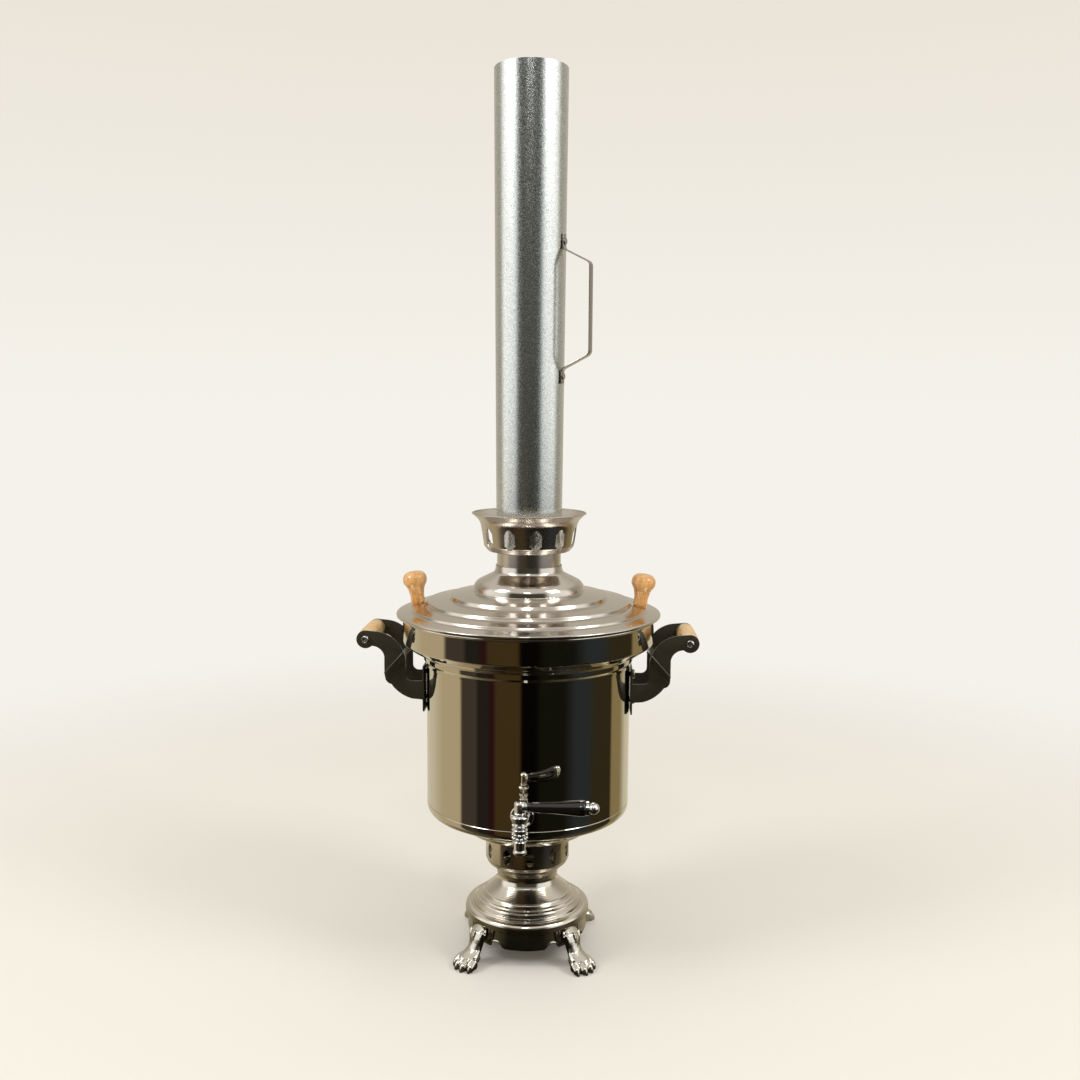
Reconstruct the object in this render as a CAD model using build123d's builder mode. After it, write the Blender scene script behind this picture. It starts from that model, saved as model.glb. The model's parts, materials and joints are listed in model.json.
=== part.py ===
from build123d import *
import os
from math import cos, radians, sin, sqrt

# Charcoal samovar, 5 litres: an upright water vessel with a fire tube through its middle,
# standing on a slotted draught throat and a footed base. Lid, slotted crown and chimney
# stack on top and lift off one after another. Millimetres, +Z up, the tap faces -Y.
# The origin is on the vessel's axis at floor level.

# ---- sheet, fits and fastenings -------------------------------------------------------
shell_wall = 0.8        # spun stainless sheet of vessel, collar, lid and crown
base_wall = 1.0         # spun stainless sheet of vessel bottom, throat and bell
flue_wall = 1.2         # fire tube
pipe_wall = 0.6         # galvanised chimney sheet
press_gap = 0.1         # radial gap between sheets pushed over each other
slip_gap = 0.5          # radial gap between fire tube and the sleeve lifted off it
seat_gap = 0.3          # rest gap under each piece that lifts off
plug_gap = 0.05         # running gap of the tap key
hole_gap = 0.2          # radial gap round screws and bolts

# ---- heights, floor upwards ------------------------------------------------------------
stand_height = 38.0     # floor to the lower edge of the bell
bell_height = 43.0
collar_lap = 4.0        # throat pushed down over the neck of the bell
cup_height = 16.5       # flared part of the throat, below its slots
slot_ring_height = 23.5
bottom_height = 40.0    # dished vessel bottom, throat to wall seam
wall_height = 140.6     # plain wall, seam to collar
shoulder_height = 19.8  # beaded shoulder under the collar band
band_height = 27.6      # plain collar band

bell_top = stand_height + bell_height
throat_base = bell_top - collar_lap
ring_base = throat_base + cup_height
ring_top = ring_base + slot_ring_height
seam_height = ring_top + bottom_height
shoulder_base = seam_height + wall_height
band_base = shoulder_base + shoulder_height
mouth_height = band_base + band_height

# ---- vessel ------------------------------------------------------------------------------
body_radius = 101.0
band_reach = 23.0       # collar band outside the vessel wall
shoulder_outline = [    # (outside the wall, below the band, fillet radius), band to wall
    (15.6, 5.6, 4.0),
    (7.6, 7.4, 1.2),
    (6.2, 10.4, 1.2),
    (3.6, 12.2, 1.0),
    (3.2, 17.2, 1.2),
]
band_fillet = 2.6
rim_fillet = 1.6
hem_height = 3.0        # straight hem of the collar, on the wall
hem_fillet = 1.0
throat_radius = 42.2
bottom_rim_drop = 1.0   # rim of the bottom flush with the wall below this
bottom_bend_drop = 8.8  # wall line kept down to here, then the dish turns inwards
bottom_outline = [      # (outside the throat, above it, fillet radius): dish, pressed step, throat
    (22.3, 12.8, 1.5),
    (19.9, 9.6, 1.5),
    (3.0, 1.4, 1.5),
]
bottom_collar_rise = 1.0
bottom_collar_depth = 3.6
rim_bend = 0.3
dish_bend = 7.0
collar_bend = 0.6
seam_lap = 5.0          # rim of the bottom inside the wall

# ---- fire tube and grate -----------------------------------------------------------------
flue_top_radius = 29.2
chamber_height = 58.0   # straight fire chamber above the throat
flue_taper = 128.0      # cone above the chamber
grate_thickness = 3.0
grate_bar = 4.0
grate_slot = 5.0
grate_gap = 0.6         # radial gap round the loose grate
ledge_depth = 5.0

# ---- base ----------------------------------------------------------------------------------
base_radius = 62.5
bell_neck_radius = 29.5
bell_flare_rise = 33.4  # neck starts to flare, above the edge of the bell
bell_flare_fillet = 10.0
bell_outline = [        # (in from the edge, height above it, fillet radius), flare to rim
    (17.2, 18.0, 24.0),
    (7.9, 11.2, 1.3),
    (6.7, 8.8, 1.3),
    (0.0, 7.6, 4.4),
]
apron_wall = 2.0
apron_lap = 2.2         # apron inside the rim of the bell
apron_inset = 1.2       # face of the apron behind its upper edge
apron_depth = 19.0      # bell edge to the tip of the apron lobes
apron_shoulder = (0.3, 1.5)         # upper edge and face begin this far below the bell's edge
apron_tip_turn = 3.0    # height of the turned-in tip
apron_bends = (0.4, 0.4, 2.0)
arch_radius = 7.0
arch_angle = 27.0       # arch centre from the middle of a lobe
foot_reach = 32.5       # toes outside the apron
toe_radius = 5.2
toe_height = 4.6        # toe centres above the floor
toe_offsets = (-10.2, -3.5, 3.5, 10.2)
toe_setbacks = (2.8, 0.0, 0.0, 2.8)
leg_sections = [        # (centre out from the apron, height, width, depth)
    (1.8, 36.2, 8.0, 3.4),
    (4.2, 31.5, 17.0, 8.0),
    (7.0, 22.0, 12.4, 9.6),
    (11.6, 14.5, 13.6, 11.6),
    (17.2, 8.0, 21.0, 17.6),
    (19.2, 3.5, 25.0, 21.0),
    (19.2, 0.0, 24.0, 19.6),
]
foot_screw_depth = 4.2
foot_angles = {"front_right": -45, "rear_right": 45, "rear_left": 135, "front_left": 225}
foot_screw_radius = 2.0
foot_screw_drop = 7.0   # below the edge of the bell

# ---- handles -------------------------------------------------------------------------------
handle_drop = 30.6      # shoulder to the level that the arms are drawn from
bracket_sheet = 1.6
plate_width = 49.0
plate_height = 46.0
plate_rise = 3.0        # middle of the plate above the level that the arms are drawn from
arm_root = (12.5, 11.5) # arm outline: (out from the wall, above that level)
arm_elbow = 5.8
arm_shoulder = ((18.3, 36.5), (27.0, 53.0), (45.0, 61.4))
arm_hook = ((51.5, 47.2), (43.8, 45.4), (38.1, 37.2))
arm_knee = ((38.1, 14.4), (36.8, 10.3), (32.6, 7.9))
arm_belly = ((23.0, -1.5), (12.0, -6.4))
arm_root_low = -7.4
grip_length = 60.0      # clear between the two arms
grip_radius = 9.3
arm_end_radius = 8.8
grip_out = 56.5         # grip axis outside the vessel wall
grip_rise = 53.6        # grip axis above the same level
joggle_point = (36.3, 18.6)
joggle_angle = 42.0     # fold line to the vertical
joggle_width = 6.0
bolt_radius = 2.4
bolt_spacing = 26.0
bolt_head_radius = 4.6
grip_screw_radius = 2.0

# ---- tap -----------------------------------------------------------------------------------
tap_reach = 39.0        # key axis outside the wall
tap_rise = 16.0         # shank axis above the wall seam
spout_drop = 21.0       # shank axis to the spout's mouth
spout_radius = 5.6
spout_bore = 3.6
plug_radius = 4.6
barrel_radius = 6.4
spout_lip = (0.4, 2.4)  # rolled mouth of the spout: outside it, and its height
spout_outline = [       # (outside the spout, above the shank axis, fillet radius), mouth to barrel top
    (-0.5, -17.0, 1.0),
    (-0.3, -9.0, 2.0),
    (0.8, -3.0, 2.5),
    (0.8, 3.5, 2.5),
    (0.0, 8.0, 1.5),
    (0.2, 12.5, 0.3),
]
spout_lip_bend = 0.9
plug_drop = 7.0         # foot of the plug below the shank axis
flange_thickness = 3.0
gasket_space = 2.5      # flange to the wall
thread_length = 9.5     # inside the wall
shank_radius = 5.0
shank_bore = 2.8
thread_radius = 5.5
flange_radius = 11.0
gland_radius = 8.9
gland_plate = 2.4
gland_outline = [       # (in from the gland's radius, below its top, fillet radius), top to foot
    (2.0, 0.0, 1.0),
    (0.0, 1.4, 1.4),
    (1.2, 5.1, 1.4),
]
gland_foot = (1.2, 7.1) # (outside the spout, below the top)
gland_bend = 0.3
stem_radius = 3.0
key_head_radius = 5.3
key_head_height = 11.4
key_head_roll = 1.6     # rounded roll left above and below the eight flats of the head
key_head_dome = 0.6
lever_rise = 21.8       # lever axis above the shank axis
lever_rod_radius = 2.0
grip_start = 6.4
grip_end = 58.4
grip_root_radius = 4.9
grip_tip_radius = 7.2
ball_radius = 5.2

# ---- lid -----------------------------------------------------------------------------------
rim_overhang = 6.2      # lid rim outside the collar band
rim_rise = 0.6          # top of the lid rim above the vessel mouth
rim_lip = 2.2
step_insets = (14.0, 29.9, 52.7)    # three steps, measured in from the rim
step_rises = (5.3, 11.1, 17.2)      # their upper edges above the rim
step_drops = (2.4, 3.1, 3.6)
step_run = 0.45         # how far a step leans out, as a share of its drop
neck_rise = 46.2        # top of the lid's neck above the rim
neck_outline = [        # (outside the neck, below its top, fillet radius), cove, dome and its foot
    (0.6, 6.8, 6.0),
    (21.9, 17.4, 11.0),
    (22.3, 25.4, 1.0),
]
rim_turn = [            # (in from the lid's edge, above the rim), where the sheet turns down
    (1.8, 0.5),
    (0.0, -0.2),
]
step_fillet = 1.0
crown_seat_drop = 4.5   # ledge inside the neck, below its lip
skirt_depth = 12.0
skirt_gap = 0.4
flange_inset = 20.5     # seat flange ends this far inside the collar band, clear of the knob screws
flange_turn = 0.8       # lean of its turned-up edge
knob_inset = 20.2       # knob axis in from the rim
knob_tilt = 8.0
knob_foot_radius = 7.3
knob_root = 5.0         # foot of the knob below its seat, cut to the slope of the lid
knob_neck = [           # (radius, height): foot to the edge under the head
    (7.1, 4.0),
    (7.6, 10.0),
    (9.8, 18.6),
]
knob_head = [           # edge under the head to the top
    (11.6, 21.0),
    (12.0, 25.2),
    (10.8, 29.4),
    (6.0, 31.6),
    (0.0, 32.0),
]
knob_screw_radius = 2.0

# ---- crown ---------------------------------------------------------------------------------
crown_neck_height = 17.8
bowl_floor = 8.6        # floor of the bowl outside the neck
bowl_foot = 12.9
bowl_side = 16.6
bowl_rim = 24.9
bowl_foot_rise = 5.6
bowl_side_rise = 29.8
bowl_rim_rise = 37.8
crown_slots = 11
crown_slot_width = 11.4
crown_slot_height = 20.4
crown_slot_rise = 14.3
crown_slot_turn = 11.0  # one slot stands this far right of the tap
sleeve_height = 24.0

throat_lap_height = 4.2 # straight collar of the throat round the neck of the bell
throat_outline = [      # (in from the slotted ring, above its base, fillet radius), cup upwards
    (5.5, -6.4, 5.0),
    (1.8, -3.0, 2.0),
    (0.0, 1.0, 2.0),
]
throat_lap_bend = 2.0
throat_slots = 11
throat_slot_width = 8.2
throat_slot_height = 15.5
throat_slot_turn = 6.5
slot_shoulder = 0.57    # straight sides of a slot as a share of its height

# ---- chimney -------------------------------------------------------------------------------
chimney_length = 455.0
chimney_flare = 3.3     # pipe's top radius outside its foot
lock_seam_width = 7.0
lock_seam_depth = 0.9
loop_width = 8.0
loop_sheet = 1.2
loop_out = 27.5         # hand space outside the pipe
loop_turn = -22.0       # round from +X towards the tap
loop_low = 162.0        # lower tab above the foot of the pipe
loop_tab = 14.0
loop_slope = 14.0
loop_grip = 84.0
loop_bend = 5.0
rivet_radius = 1.6

# ---- derived fits, from the fire tube outwards ---------------------------------------------
sleeve_neck_radius = flue_top_radius + slip_gap + shell_wall
crown_neck_radius = sleeve_neck_radius + press_gap + shell_wall
sleeve_radius = crown_neck_radius - seat_gap
pipe_foot_radius = sleeve_radius + seat_gap + pipe_wall
chimney_top_radius = pipe_foot_radius + chimney_flare
neck_lip_radius = crown_neck_radius + slip_gap + shell_wall
chamber_radius = throat_radius - 2 * base_wall - 2 * press_gap
band_radius = body_radius + band_reach
lid_radius = band_radius + rim_overhang
rim_height = mouth_height + rim_rise
neck_top = rim_height + neck_rise
crown_base = neck_top - crown_seat_drop + seat_gap
bowl_base = crown_base + crown_neck_height
pipe_base = bowl_base + shell_wall + seat_gap
throat_collar_radius = bell_neck_radius + press_gap + base_wall
apron_radius = base_radius - base_wall - press_gap

os.makedirs("parts", exist_ok=True)


def save(piece, name):
    """Label a finished piece and write its STEP file."""
    piece.label = name
    export_step(piece, f"parts/{name}.step")


def notched_slot(width, height):
    """Slot outline: an oval with straight-sided shoulders, notched at its four corners."""
    Ellipse(width / 2 - press_gap, height / 2)
    Rectangle(width, height * slot_shoulder)


def polar_plane(angle, radius, height):
    """Plane facing outwards at this place, with local X running round and local Y up."""
    out = Vector(cos(radians(angle)), sin(radians(angle)), 0)
    round_about = Vector(-sin(radians(angle)), cos(radians(angle)), 0)
    return Plane(origin=out * radius + Vector(0, 0, height), x_dir=round_about, z_dir=out)


def radial_plane(angle):
    """Upright plane through the axis at this angle: local X outwards, local Y up."""
    out = Vector(cos(radians(angle)), sin(radians(angle)), 0)
    return Plane(origin=(0, 0, 0), x_dir=out, z_dir=out.cross(Vector(0, 0, 1)))


def lid_surface(radius):
    """Height of the lid's outermost cone, between its rim step and its second step."""
    outer, inner = lid_radius - step_insets[0], lid_radius - step_insets[1] + step_run * step_drops[1]
    low = rim_height + step_rises[0]
    high = rim_height + step_rises[1] - step_drops[1]
    return low + (high - low) * (outer - radius) / (outer - inner)


# ---- vessel --------------------------------------------------------------------------------
tap_axis_y = -(body_radius + tap_reach)
tap_height = seam_height + tap_rise
handle_height = shoulder_base - handle_drop
plate_middle = handle_height + plate_rise
bolt_heights = [plate_middle - bolt_spacing / 2, plate_middle + bolt_spacing / 2]

with BuildPart() as vessel_shell:
    with BuildSketch(Plane.XY.offset(seam_height)):
        Circle(body_radius)
        Circle(body_radius - shell_wall, mode=Mode.SUBTRACT)
    extrude(amount=mouth_height - seam_height)
    with BuildSketch(Plane.XZ):
        with Locations((0, tap_height)):
            Circle(thread_radius + hole_gap)
    extrude(amount=body_radius + base_wall, mode=Mode.SUBTRACT)
    with BuildSketch(Plane.YZ):
        with Locations(*[(0, height) for height in bolt_heights]):
            Circle(bolt_radius + hole_gap)
    extrude(amount=body_radius + base_wall, both=True, mode=Mode.SUBTRACT)
save(vessel_shell.part, "vessel_shell")

hem_radius = body_radius + press_gap + shell_wall
with BuildPart() as collar_ring:
    with BuildSketch(Plane.XZ):
        with BuildLine():
            FilletPolyline(
                [
                    (body_radius + press_gap, mouth_height),
                    (band_radius, mouth_height),
                    (band_radius, band_base),
                    *[(body_radius + reach, band_base - drop) for reach, drop, _ in shoulder_outline],
                    (hem_radius, shoulder_base),
                    (hem_radius, shoulder_base - hem_height),
                ],
                radius=[rim_fillet, band_fillet, *[bend for _, _, bend in shoulder_outline], hem_fillet],
            )
            offset(amount=shell_wall, side=Side.RIGHT)
        make_face()
    revolve(axis=Axis.Z)
save(collar_ring.part, "collar_ring")

bottom_collar_radius = throat_radius - base_wall - press_gap
bottom_rim_radius = body_radius - shell_wall - press_gap
with BuildPart() as vessel_bottom:
    with BuildSketch(Plane.XZ):
        with BuildLine():
            FilletPolyline(
                [
                    (bottom_rim_radius, seam_height + seam_lap),
                    (bottom_rim_radius, seam_height),
                    (body_radius, seam_height - bottom_rim_drop),
                    (body_radius, seam_height - bottom_bend_drop),
                    *[(throat_radius + reach, ring_top + rise) for reach, rise, _ in bottom_outline],
                    (bottom_collar_radius, ring_top + bottom_collar_rise),
                    (bottom_collar_radius, ring_top - bottom_collar_depth),
                ],
                radius=[rim_bend, rim_bend, dish_bend, *[bend for _, _, bend in bottom_outline], collar_bend],
            )
            offset(amount=base_wall, side=Side.RIGHT)
        make_face()
    revolve(axis=Axis.Z)
save(vessel_bottom.part, "vessel_bottom")

# ---- fire tube and grate -------------------------------------------------------------------
tube_base = ring_top - 3.0
cone_base = tube_base + chamber_height
flue_top = crown_base + crown_neck_height - 1.0
with BuildPart() as fire_tube:
    with BuildSketch(Plane.XZ):
        with BuildLine():
            Polyline(
                (chamber_radius, tube_base),
                (chamber_radius, cone_base),
                (flue_top_radius, cone_base + flue_taper),
                (flue_top_radius, flue_top),
            )
            offset(amount=flue_wall, side=Side.LEFT)
        make_face()
    revolve(axis=Axis.Z)
    with BuildSketch(Plane.XY.offset(tube_base)):
        Circle(chamber_radius - flue_wall / 2)
        Circle(chamber_radius - flue_wall - ledge_depth, mode=Mode.SUBTRACT)
    extrude(amount=flue_wall)
save(fire_tube.part, "fire_tube")

grate_radius = chamber_radius - flue_wall - grate_gap
grate_pitch = grate_bar + grate_slot
outer_row = int((grate_radius - grate_bar - grate_slot / 2) / grate_pitch)
with BuildPart() as grate:
    with BuildSketch(Plane.XY.offset(tube_base + flue_wall)):
        Circle(grate_radius)
        for row in range(-outer_row, outer_row + 1):
            reach = sqrt((grate_radius - grate_bar) ** 2 - (abs(row * grate_pitch) + grate_slot / 2) ** 2)
            with Locations((0, row * grate_pitch)):
                SlotOverall(2 * reach, grate_slot, mode=Mode.SUBTRACT)
    extrude(amount=grate_thickness)
save(grate.part, "grate")

# ---- throat and base -----------------------------------------------------------------------
with BuildPart() as throat_ring:
    with BuildSketch(Plane.XZ):
        with BuildLine():
            FilletPolyline(
                [
                    (throat_collar_radius, throat_base),
                    (throat_collar_radius, throat_base + throat_lap_height),
                    *[(throat_radius - inset, ring_base + rise) for inset, rise, _ in throat_outline],
                    (throat_radius, ring_top),
                ],
                radius=[throat_lap_bend, *[bend for _, _, bend in throat_outline]],
            )
            offset(amount=base_wall, side=Side.LEFT)
        make_face()
    revolve(axis=Axis.Z)
    for slot in range(throat_slots):
        turn = -90 + throat_slot_turn + slot * 360 / throat_slots
        with BuildSketch(polar_plane(turn, throat_radius - 3 * base_wall, (ring_base + ring_top) / 2)):
            notched_slot(throat_slot_width, throat_slot_height)
        extrude(amount=4 * base_wall, mode=Mode.SUBTRACT)
save(throat_ring.part, "throat_ring")

with BuildPart() as base_bell:
    with BuildSketch(Plane.XZ):
        with BuildLine():
            FilletPolyline(
                [
                    (bell_neck_radius, bell_top),
                    (bell_neck_radius, stand_height + bell_flare_rise),
                    *[(base_radius - inset, stand_height + rise) for inset, rise, _ in bell_outline],
                    (base_radius, stand_height),
                ],
                radius=[bell_flare_fillet, *[bend for _, _, bend in bell_outline]],
            )
            offset(amount=base_wall, side=Side.RIGHT)
        make_face()
    revolve(axis=Axis.Z)
save(base_bell.part, "base_bell")

foot_screw_height = stand_height - foot_screw_drop
apron_tip = stand_height - apron_depth
with BuildPart() as base_apron:
    with BuildSketch(Plane.XZ):
        with BuildLine():
            FilletPolyline(
                [
                    (apron_radius, stand_height + apron_lap),
                    (apron_radius, stand_height - apron_shoulder[0]),
                    (apron_radius - apron_inset, stand_height - apron_shoulder[1]),
                    (apron_radius - apron_inset, apron_tip + apron_tip_turn),
                    (apron_radius - 2 * apron_inset, apron_tip),
                ],
                radius=apron_bends,
            )
            offset(amount=apron_wall, side=Side.RIGHT)
        make_face()
    revolve(axis=Axis.Z)
    for lobe in range(4):
        for side in (-1, 1):
            turn = lobe * 90 + side * arch_angle
            with BuildSketch(polar_plane(turn, apron_radius - 3 * apron_wall, apron_tip)):
                Circle(arch_radius)
            extrude(amount=4 * apron_wall, mode=Mode.SUBTRACT)
    for angle in foot_angles.values():
        with BuildSketch(polar_plane(angle, apron_radius - 3 * apron_wall, foot_screw_height)):
            Circle(foot_screw_radius + hole_gap)
        extrude(amount=4 * apron_wall, mode=Mode.SUBTRACT)
save(base_apron.part, "base_apron")

# Each foot is a cast paw: a leg lofted through level sections that swing outwards and widen
# to a flat sole, with four toes in front, and its inner side bored to lie on the apron.
pad_radius = apron_radius - apron_inset + press_gap
for name, angle in foot_angles.items():
    out_dir = radial_plane(angle).x_dir
    with BuildPart() as foot:
        for out, height, width, depth in leg_sections:
            centre = out_dir * (pad_radius + out) + Vector(0, 0, height)
            with BuildSketch(Plane(origin=centre, x_dir=out_dir, z_dir=(0, 0, 1))):
                Ellipse(depth / 2, width / 2)
        loft()
        with Locations(Plane(origin=(0, 0, toe_height), x_dir=out_dir, z_dir=(0, 0, 1))):
            for side, setback in zip(toe_offsets, toe_setbacks):
                with Locations((pad_radius + foot_reach - toe_radius - setback, side)):
                    Sphere(toe_radius)
        with Locations((0, 0, -stand_height / 2)):
            Cylinder(2 * base_radius, stand_height, mode=Mode.SUBTRACT)
        with Locations((0, 0, stand_height / 2)):
            Cylinder(pad_radius, 2 * stand_height, mode=Mode.SUBTRACT)
        with BuildSketch(polar_plane(angle, pad_radius - apron_wall, foot_screw_height)):
            Circle(foot_screw_radius + press_gap)
        extrude(amount=foot_screw_depth + apron_wall, mode=Mode.SUBTRACT)
    save(foot.part, f"foot_{name}")


def pan_screw(plane, shank_radius, length, head_radius, head_height):
    """Pan-head screw under the given plane's origin: shank along +Z, head behind."""
    with BuildPart() as screw:
        with BuildSketch(plane):
            Circle(shank_radius)
        extrude(amount=length)
        with BuildSketch(plane):
            Circle(head_radius)
        extrude(amount=-head_height)
        fillet(screw.faces().sort_by(plane_axis(plane))[0].edges(), head_height / 3)
    return screw.part


def plane_axis(plane):
    """Axis through a plane's origin along its normal."""
    return Axis(plane.origin, plane.z_dir)


screw_head_height = 2.2
foot_screw_head = 1.9 * foot_screw_radius
apron_inside = apron_radius - apron_inset - apron_wall
head_seat = sqrt(apron_inside**2 - foot_screw_head**2) - press_gap
foot_screw_length = pad_radius + foot_screw_depth - press_gap - head_seat
with BuildPart() as foot_screws:
    for angle in foot_angles.values():
        seat = polar_plane(angle, head_seat, foot_screw_height)
        add(pan_screw(seat, foot_screw_radius, foot_screw_length, foot_screw_head, screw_head_height))
save(foot_screws.part, "foot_screws")


# ---- handles -------------------------------------------------------------------------------
# One folded sheet: a flat backing plate with two S-shaped arms bent forward from its edges.
# Each arm is joggled outwards along a slanting fold, so that the arms stand wider at the grip.
plate_face = body_radius + seat_gap
arm_inner = plate_width / 2 - bracket_sheet
grip_half = grip_length / 2
grip_x, grip_z = body_radius + grip_out, handle_height + grip_rise


def arm_point(out, rise):
    """Point of the arm's outline, out from the vessel wall and up from the handle's level."""
    return (body_radius + out, handle_height + rise)


with BuildPart() as bracket:
    with BuildSketch(Plane.XZ):
        with BuildLine():
            root_top = Line(arm_point(seat_gap, arm_root[1]), arm_point(*arm_root))
            elbow = JernArc(root_top @ 1, (1, 0), arm_elbow, 90)
            Line(elbow @ 1, arm_point(*arm_shoulder[0]))
            shoulder = ThreePointArc(*[arm_point(*mark) for mark in arm_shoulder])
            to_grip = Line(shoulder @ 1, (grip_x, grip_z + arm_end_radius))
            end_side = Line(to_grip @ 1, (grip_x, grip_z))
            Line(end_side @ 1, arm_point(*arm_hook[0]))
            hook = ThreePointArc(*[arm_point(*mark) for mark in arm_hook])
            Line(hook @ 1, arm_point(*arm_knee[0]))
            knee = ThreePointArc(*[arm_point(*mark) for mark in arm_knee])
            belly = ThreePointArc(knee @ 1, *[arm_point(*mark) for mark in arm_belly])
            root_low = Line(belly @ 1, arm_point(seat_gap, arm_root_low))
            Line(root_low @ 1, root_top @ 0)
        make_face()
        with Locations((grip_x, grip_z)):
            Circle(arm_end_radius)
            Circle(grip_screw_radius + press_gap, mode=Mode.SUBTRACT)
    extrude(amount=plate_width, both=True)
    fold_run = Vector(-sin(radians(joggle_angle)), 0, cos(radians(joggle_angle)))
    fold_across = Vector(cos(radians(joggle_angle)), 0, sin(radians(joggle_angle)))
    fold_x, fold_z = arm_point(*joggle_point)
    with BuildSketch(Plane(origin=(fold_x, 0, fold_z), x_dir=fold_across, z_dir=fold_run)):
        with BuildLine():
            Polyline(
                (-grip_x, arm_inner),
                (-joggle_width / 2, arm_inner),
                (joggle_width / 2, grip_half),
                (grip_x, grip_half),
            )
            offset(amount=bracket_sheet, side=Side.LEFT)
        make_face()
    extrude(amount=grip_x, both=True, mode=Mode.INTERSECT)
    mirror(about=Plane.XZ)
    with BuildSketch(Plane.YZ.offset(plate_face)):
        with Locations((0, plate_middle)):
            RectangleRounded(plate_width, plate_height, 2 * bracket_sheet)
        with Locations(*[(0, height) for height in bolt_heights]):
            Circle(bolt_radius + hole_gap, mode=Mode.SUBTRACT)
    extrude(amount=bracket_sheet)

grip_play = press_gap
grip_groove = 0.8
groove_places = [grip_half - 4.0, grip_half - 8.0, grip_half - 12.0]
with BuildPart() as grip:
    with BuildSketch(Plane.XZ.offset(-grip_half + grip_play)):
        with Locations((grip_x, grip_z)):
            Circle(grip_radius)
    extrude(amount=2 * (grip_half - grip_play))
    grip_axis = Axis((grip_x, 0, grip_z), (0, 1, 0))
    for place in groove_places:
        for end in (-1, 1):
            with BuildSketch(Plane.XY.offset(grip_z)):
                with Locations((grip_x + grip_radius, end * place)):
                    Rectangle(2 * grip_groove, grip_groove, rotation=45)
            revolve(axis=grip_axis, mode=Mode.SUBTRACT)
    with BuildSketch(Plane.XZ.offset(-grip_half)):
        with Locations((grip_x, grip_z)):
            Circle(grip_screw_radius + press_gap)
    extrude(amount=2 * grip_half, mode=Mode.SUBTRACT)
    fillet(grip.faces().filter_by(Axis.Y).edges().filter_by(GeomType.CIRCLE).group_by(SortBy.RADIUS)[-1], 1.0)

grip_screw_depth = 14.0
grip_screw_head = 2.2
with BuildPart() as grip_screw_pair:
    for end in (-1, 1):
        seat = Plane(origin=(grip_x, end * (grip_half + bracket_sheet), grip_z), z_dir=(0, -end, 0))
        add(pan_screw(seat, grip_screw_radius, grip_screw_depth, 2 * grip_screw_radius, grip_screw_head))

bolt_length = 9.0
with BuildPart() as bolt_pair:
    for height in bolt_heights:
        seat = Plane(origin=(plate_face + bracket_sheet, 0, height), z_dir=(-1, 0, 0))
        add(pan_screw(seat, bolt_radius, bolt_length, bolt_head_radius, 1.3 * bolt_radius))

nut_height = 4.0
nut_seat = sqrt((body_radius - shell_wall) ** 2 - bolt_head_radius**2) - press_gap
with BuildPart() as nut_pair:
    with BuildSketch(Plane.YZ.offset(nut_seat)):
        for height in bolt_heights:
            with Locations((0, height)):
                RegularPolygon(bolt_head_radius, 6)
                Circle(bolt_radius + press_gap, mode=Mode.SUBTRACT)
    extrude(amount=-nut_height)

for side, turn in (("right", 0), ("left", 180)):
    save(Rot(0, 0, turn) * bracket.part, f"handle_bracket_{side}")
    save(Rot(0, 0, turn) * grip.part, f"handle_grip_{side}")
for pair, name in ((grip_screw_pair, "grip_screws"), (bolt_pair, "handle_bolts"), (nut_pair, "handle_nuts")):
    with BuildPart() as both_sides:
        add(pair.part)
        add(Rot(0, 0, 180) * pair.part)
    save(both_sides.part, name)

# ---- tap -----------------------------------------------------------------------------------
# A plug valve: the hollow key turns on a vertical axis, its side port meets the shank's bore
# when the lever points away from the vessel, and water leaves downwards through the spout.
tap_plane = Plane(origin=(0, tap_axis_y, 0), x_dir=(1, 0, 0), z_dir=(0, -1, 0))
tap_axis = Axis((0, tap_axis_y, 0), (0, 0, 1))
shank_plane = Plane(origin=(0, tap_axis_y, tap_height), z_dir=(0, 1, 0))
spout_mouth = tap_height - spout_drop
barrel_top = tap_height + spout_outline[-1][1]
plug_base = tap_height - plug_drop
flange_back = tap_reach - gasket_space
thread_end = tap_reach + thread_length
with BuildPart() as tap_body:
    with BuildSketch(tap_plane):
        with BuildLine():
            FilletPolyline(
                [
                    (0, spout_mouth),
                    (spout_radius + spout_lip[0], spout_mouth),
                    (spout_radius + spout_lip[0], spout_mouth + spout_lip[1]),
                    *[(spout_radius + reach, tap_height + rise) for reach, rise, _ in spout_outline],
                    (0, barrel_top),
                ],
                radius=[spout_lip_bend, spout_lip_bend, *[bend for _, _, bend in spout_outline]],
            )
            Line((0, barrel_top), (0, spout_mouth))
        make_face()
    revolve(axis=tap_axis)
    with BuildSketch(shank_plane):
        Circle(shank_radius)
    extrude(amount=flange_back)
    with BuildSketch(shank_plane.offset(flange_back - flange_thickness)):
        Circle(flange_radius)
    extrude(amount=flange_thickness)
    fillet(tap_body.edges().filter_by(GeomType.CIRCLE).group_by(SortBy.RADIUS)[-1].sort_by(Axis.Y)[0], 1.2)
    with BuildSketch(shank_plane.offset(flange_back)):
        Circle(thread_radius)
    extrude(amount=thread_end - flange_back)
    with BuildSketch(shank_plane):
        Circle(shank_bore)
    extrude(amount=thread_end, mode=Mode.SUBTRACT)
    with BuildSketch(Plane.XY.offset(spout_mouth)):
        with Locations((0, tap_axis_y)):
            Circle(spout_bore)
    extrude(amount=barrel_top - spout_mouth, mode=Mode.SUBTRACT)
    with BuildSketch(Plane.XY.offset(plug_base)):
        with Locations((0, tap_axis_y)):
            Circle(plug_radius)
    extrude(amount=barrel_top - plug_base, mode=Mode.SUBTRACT)
save(tap_body.part, "tap_body")

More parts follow.
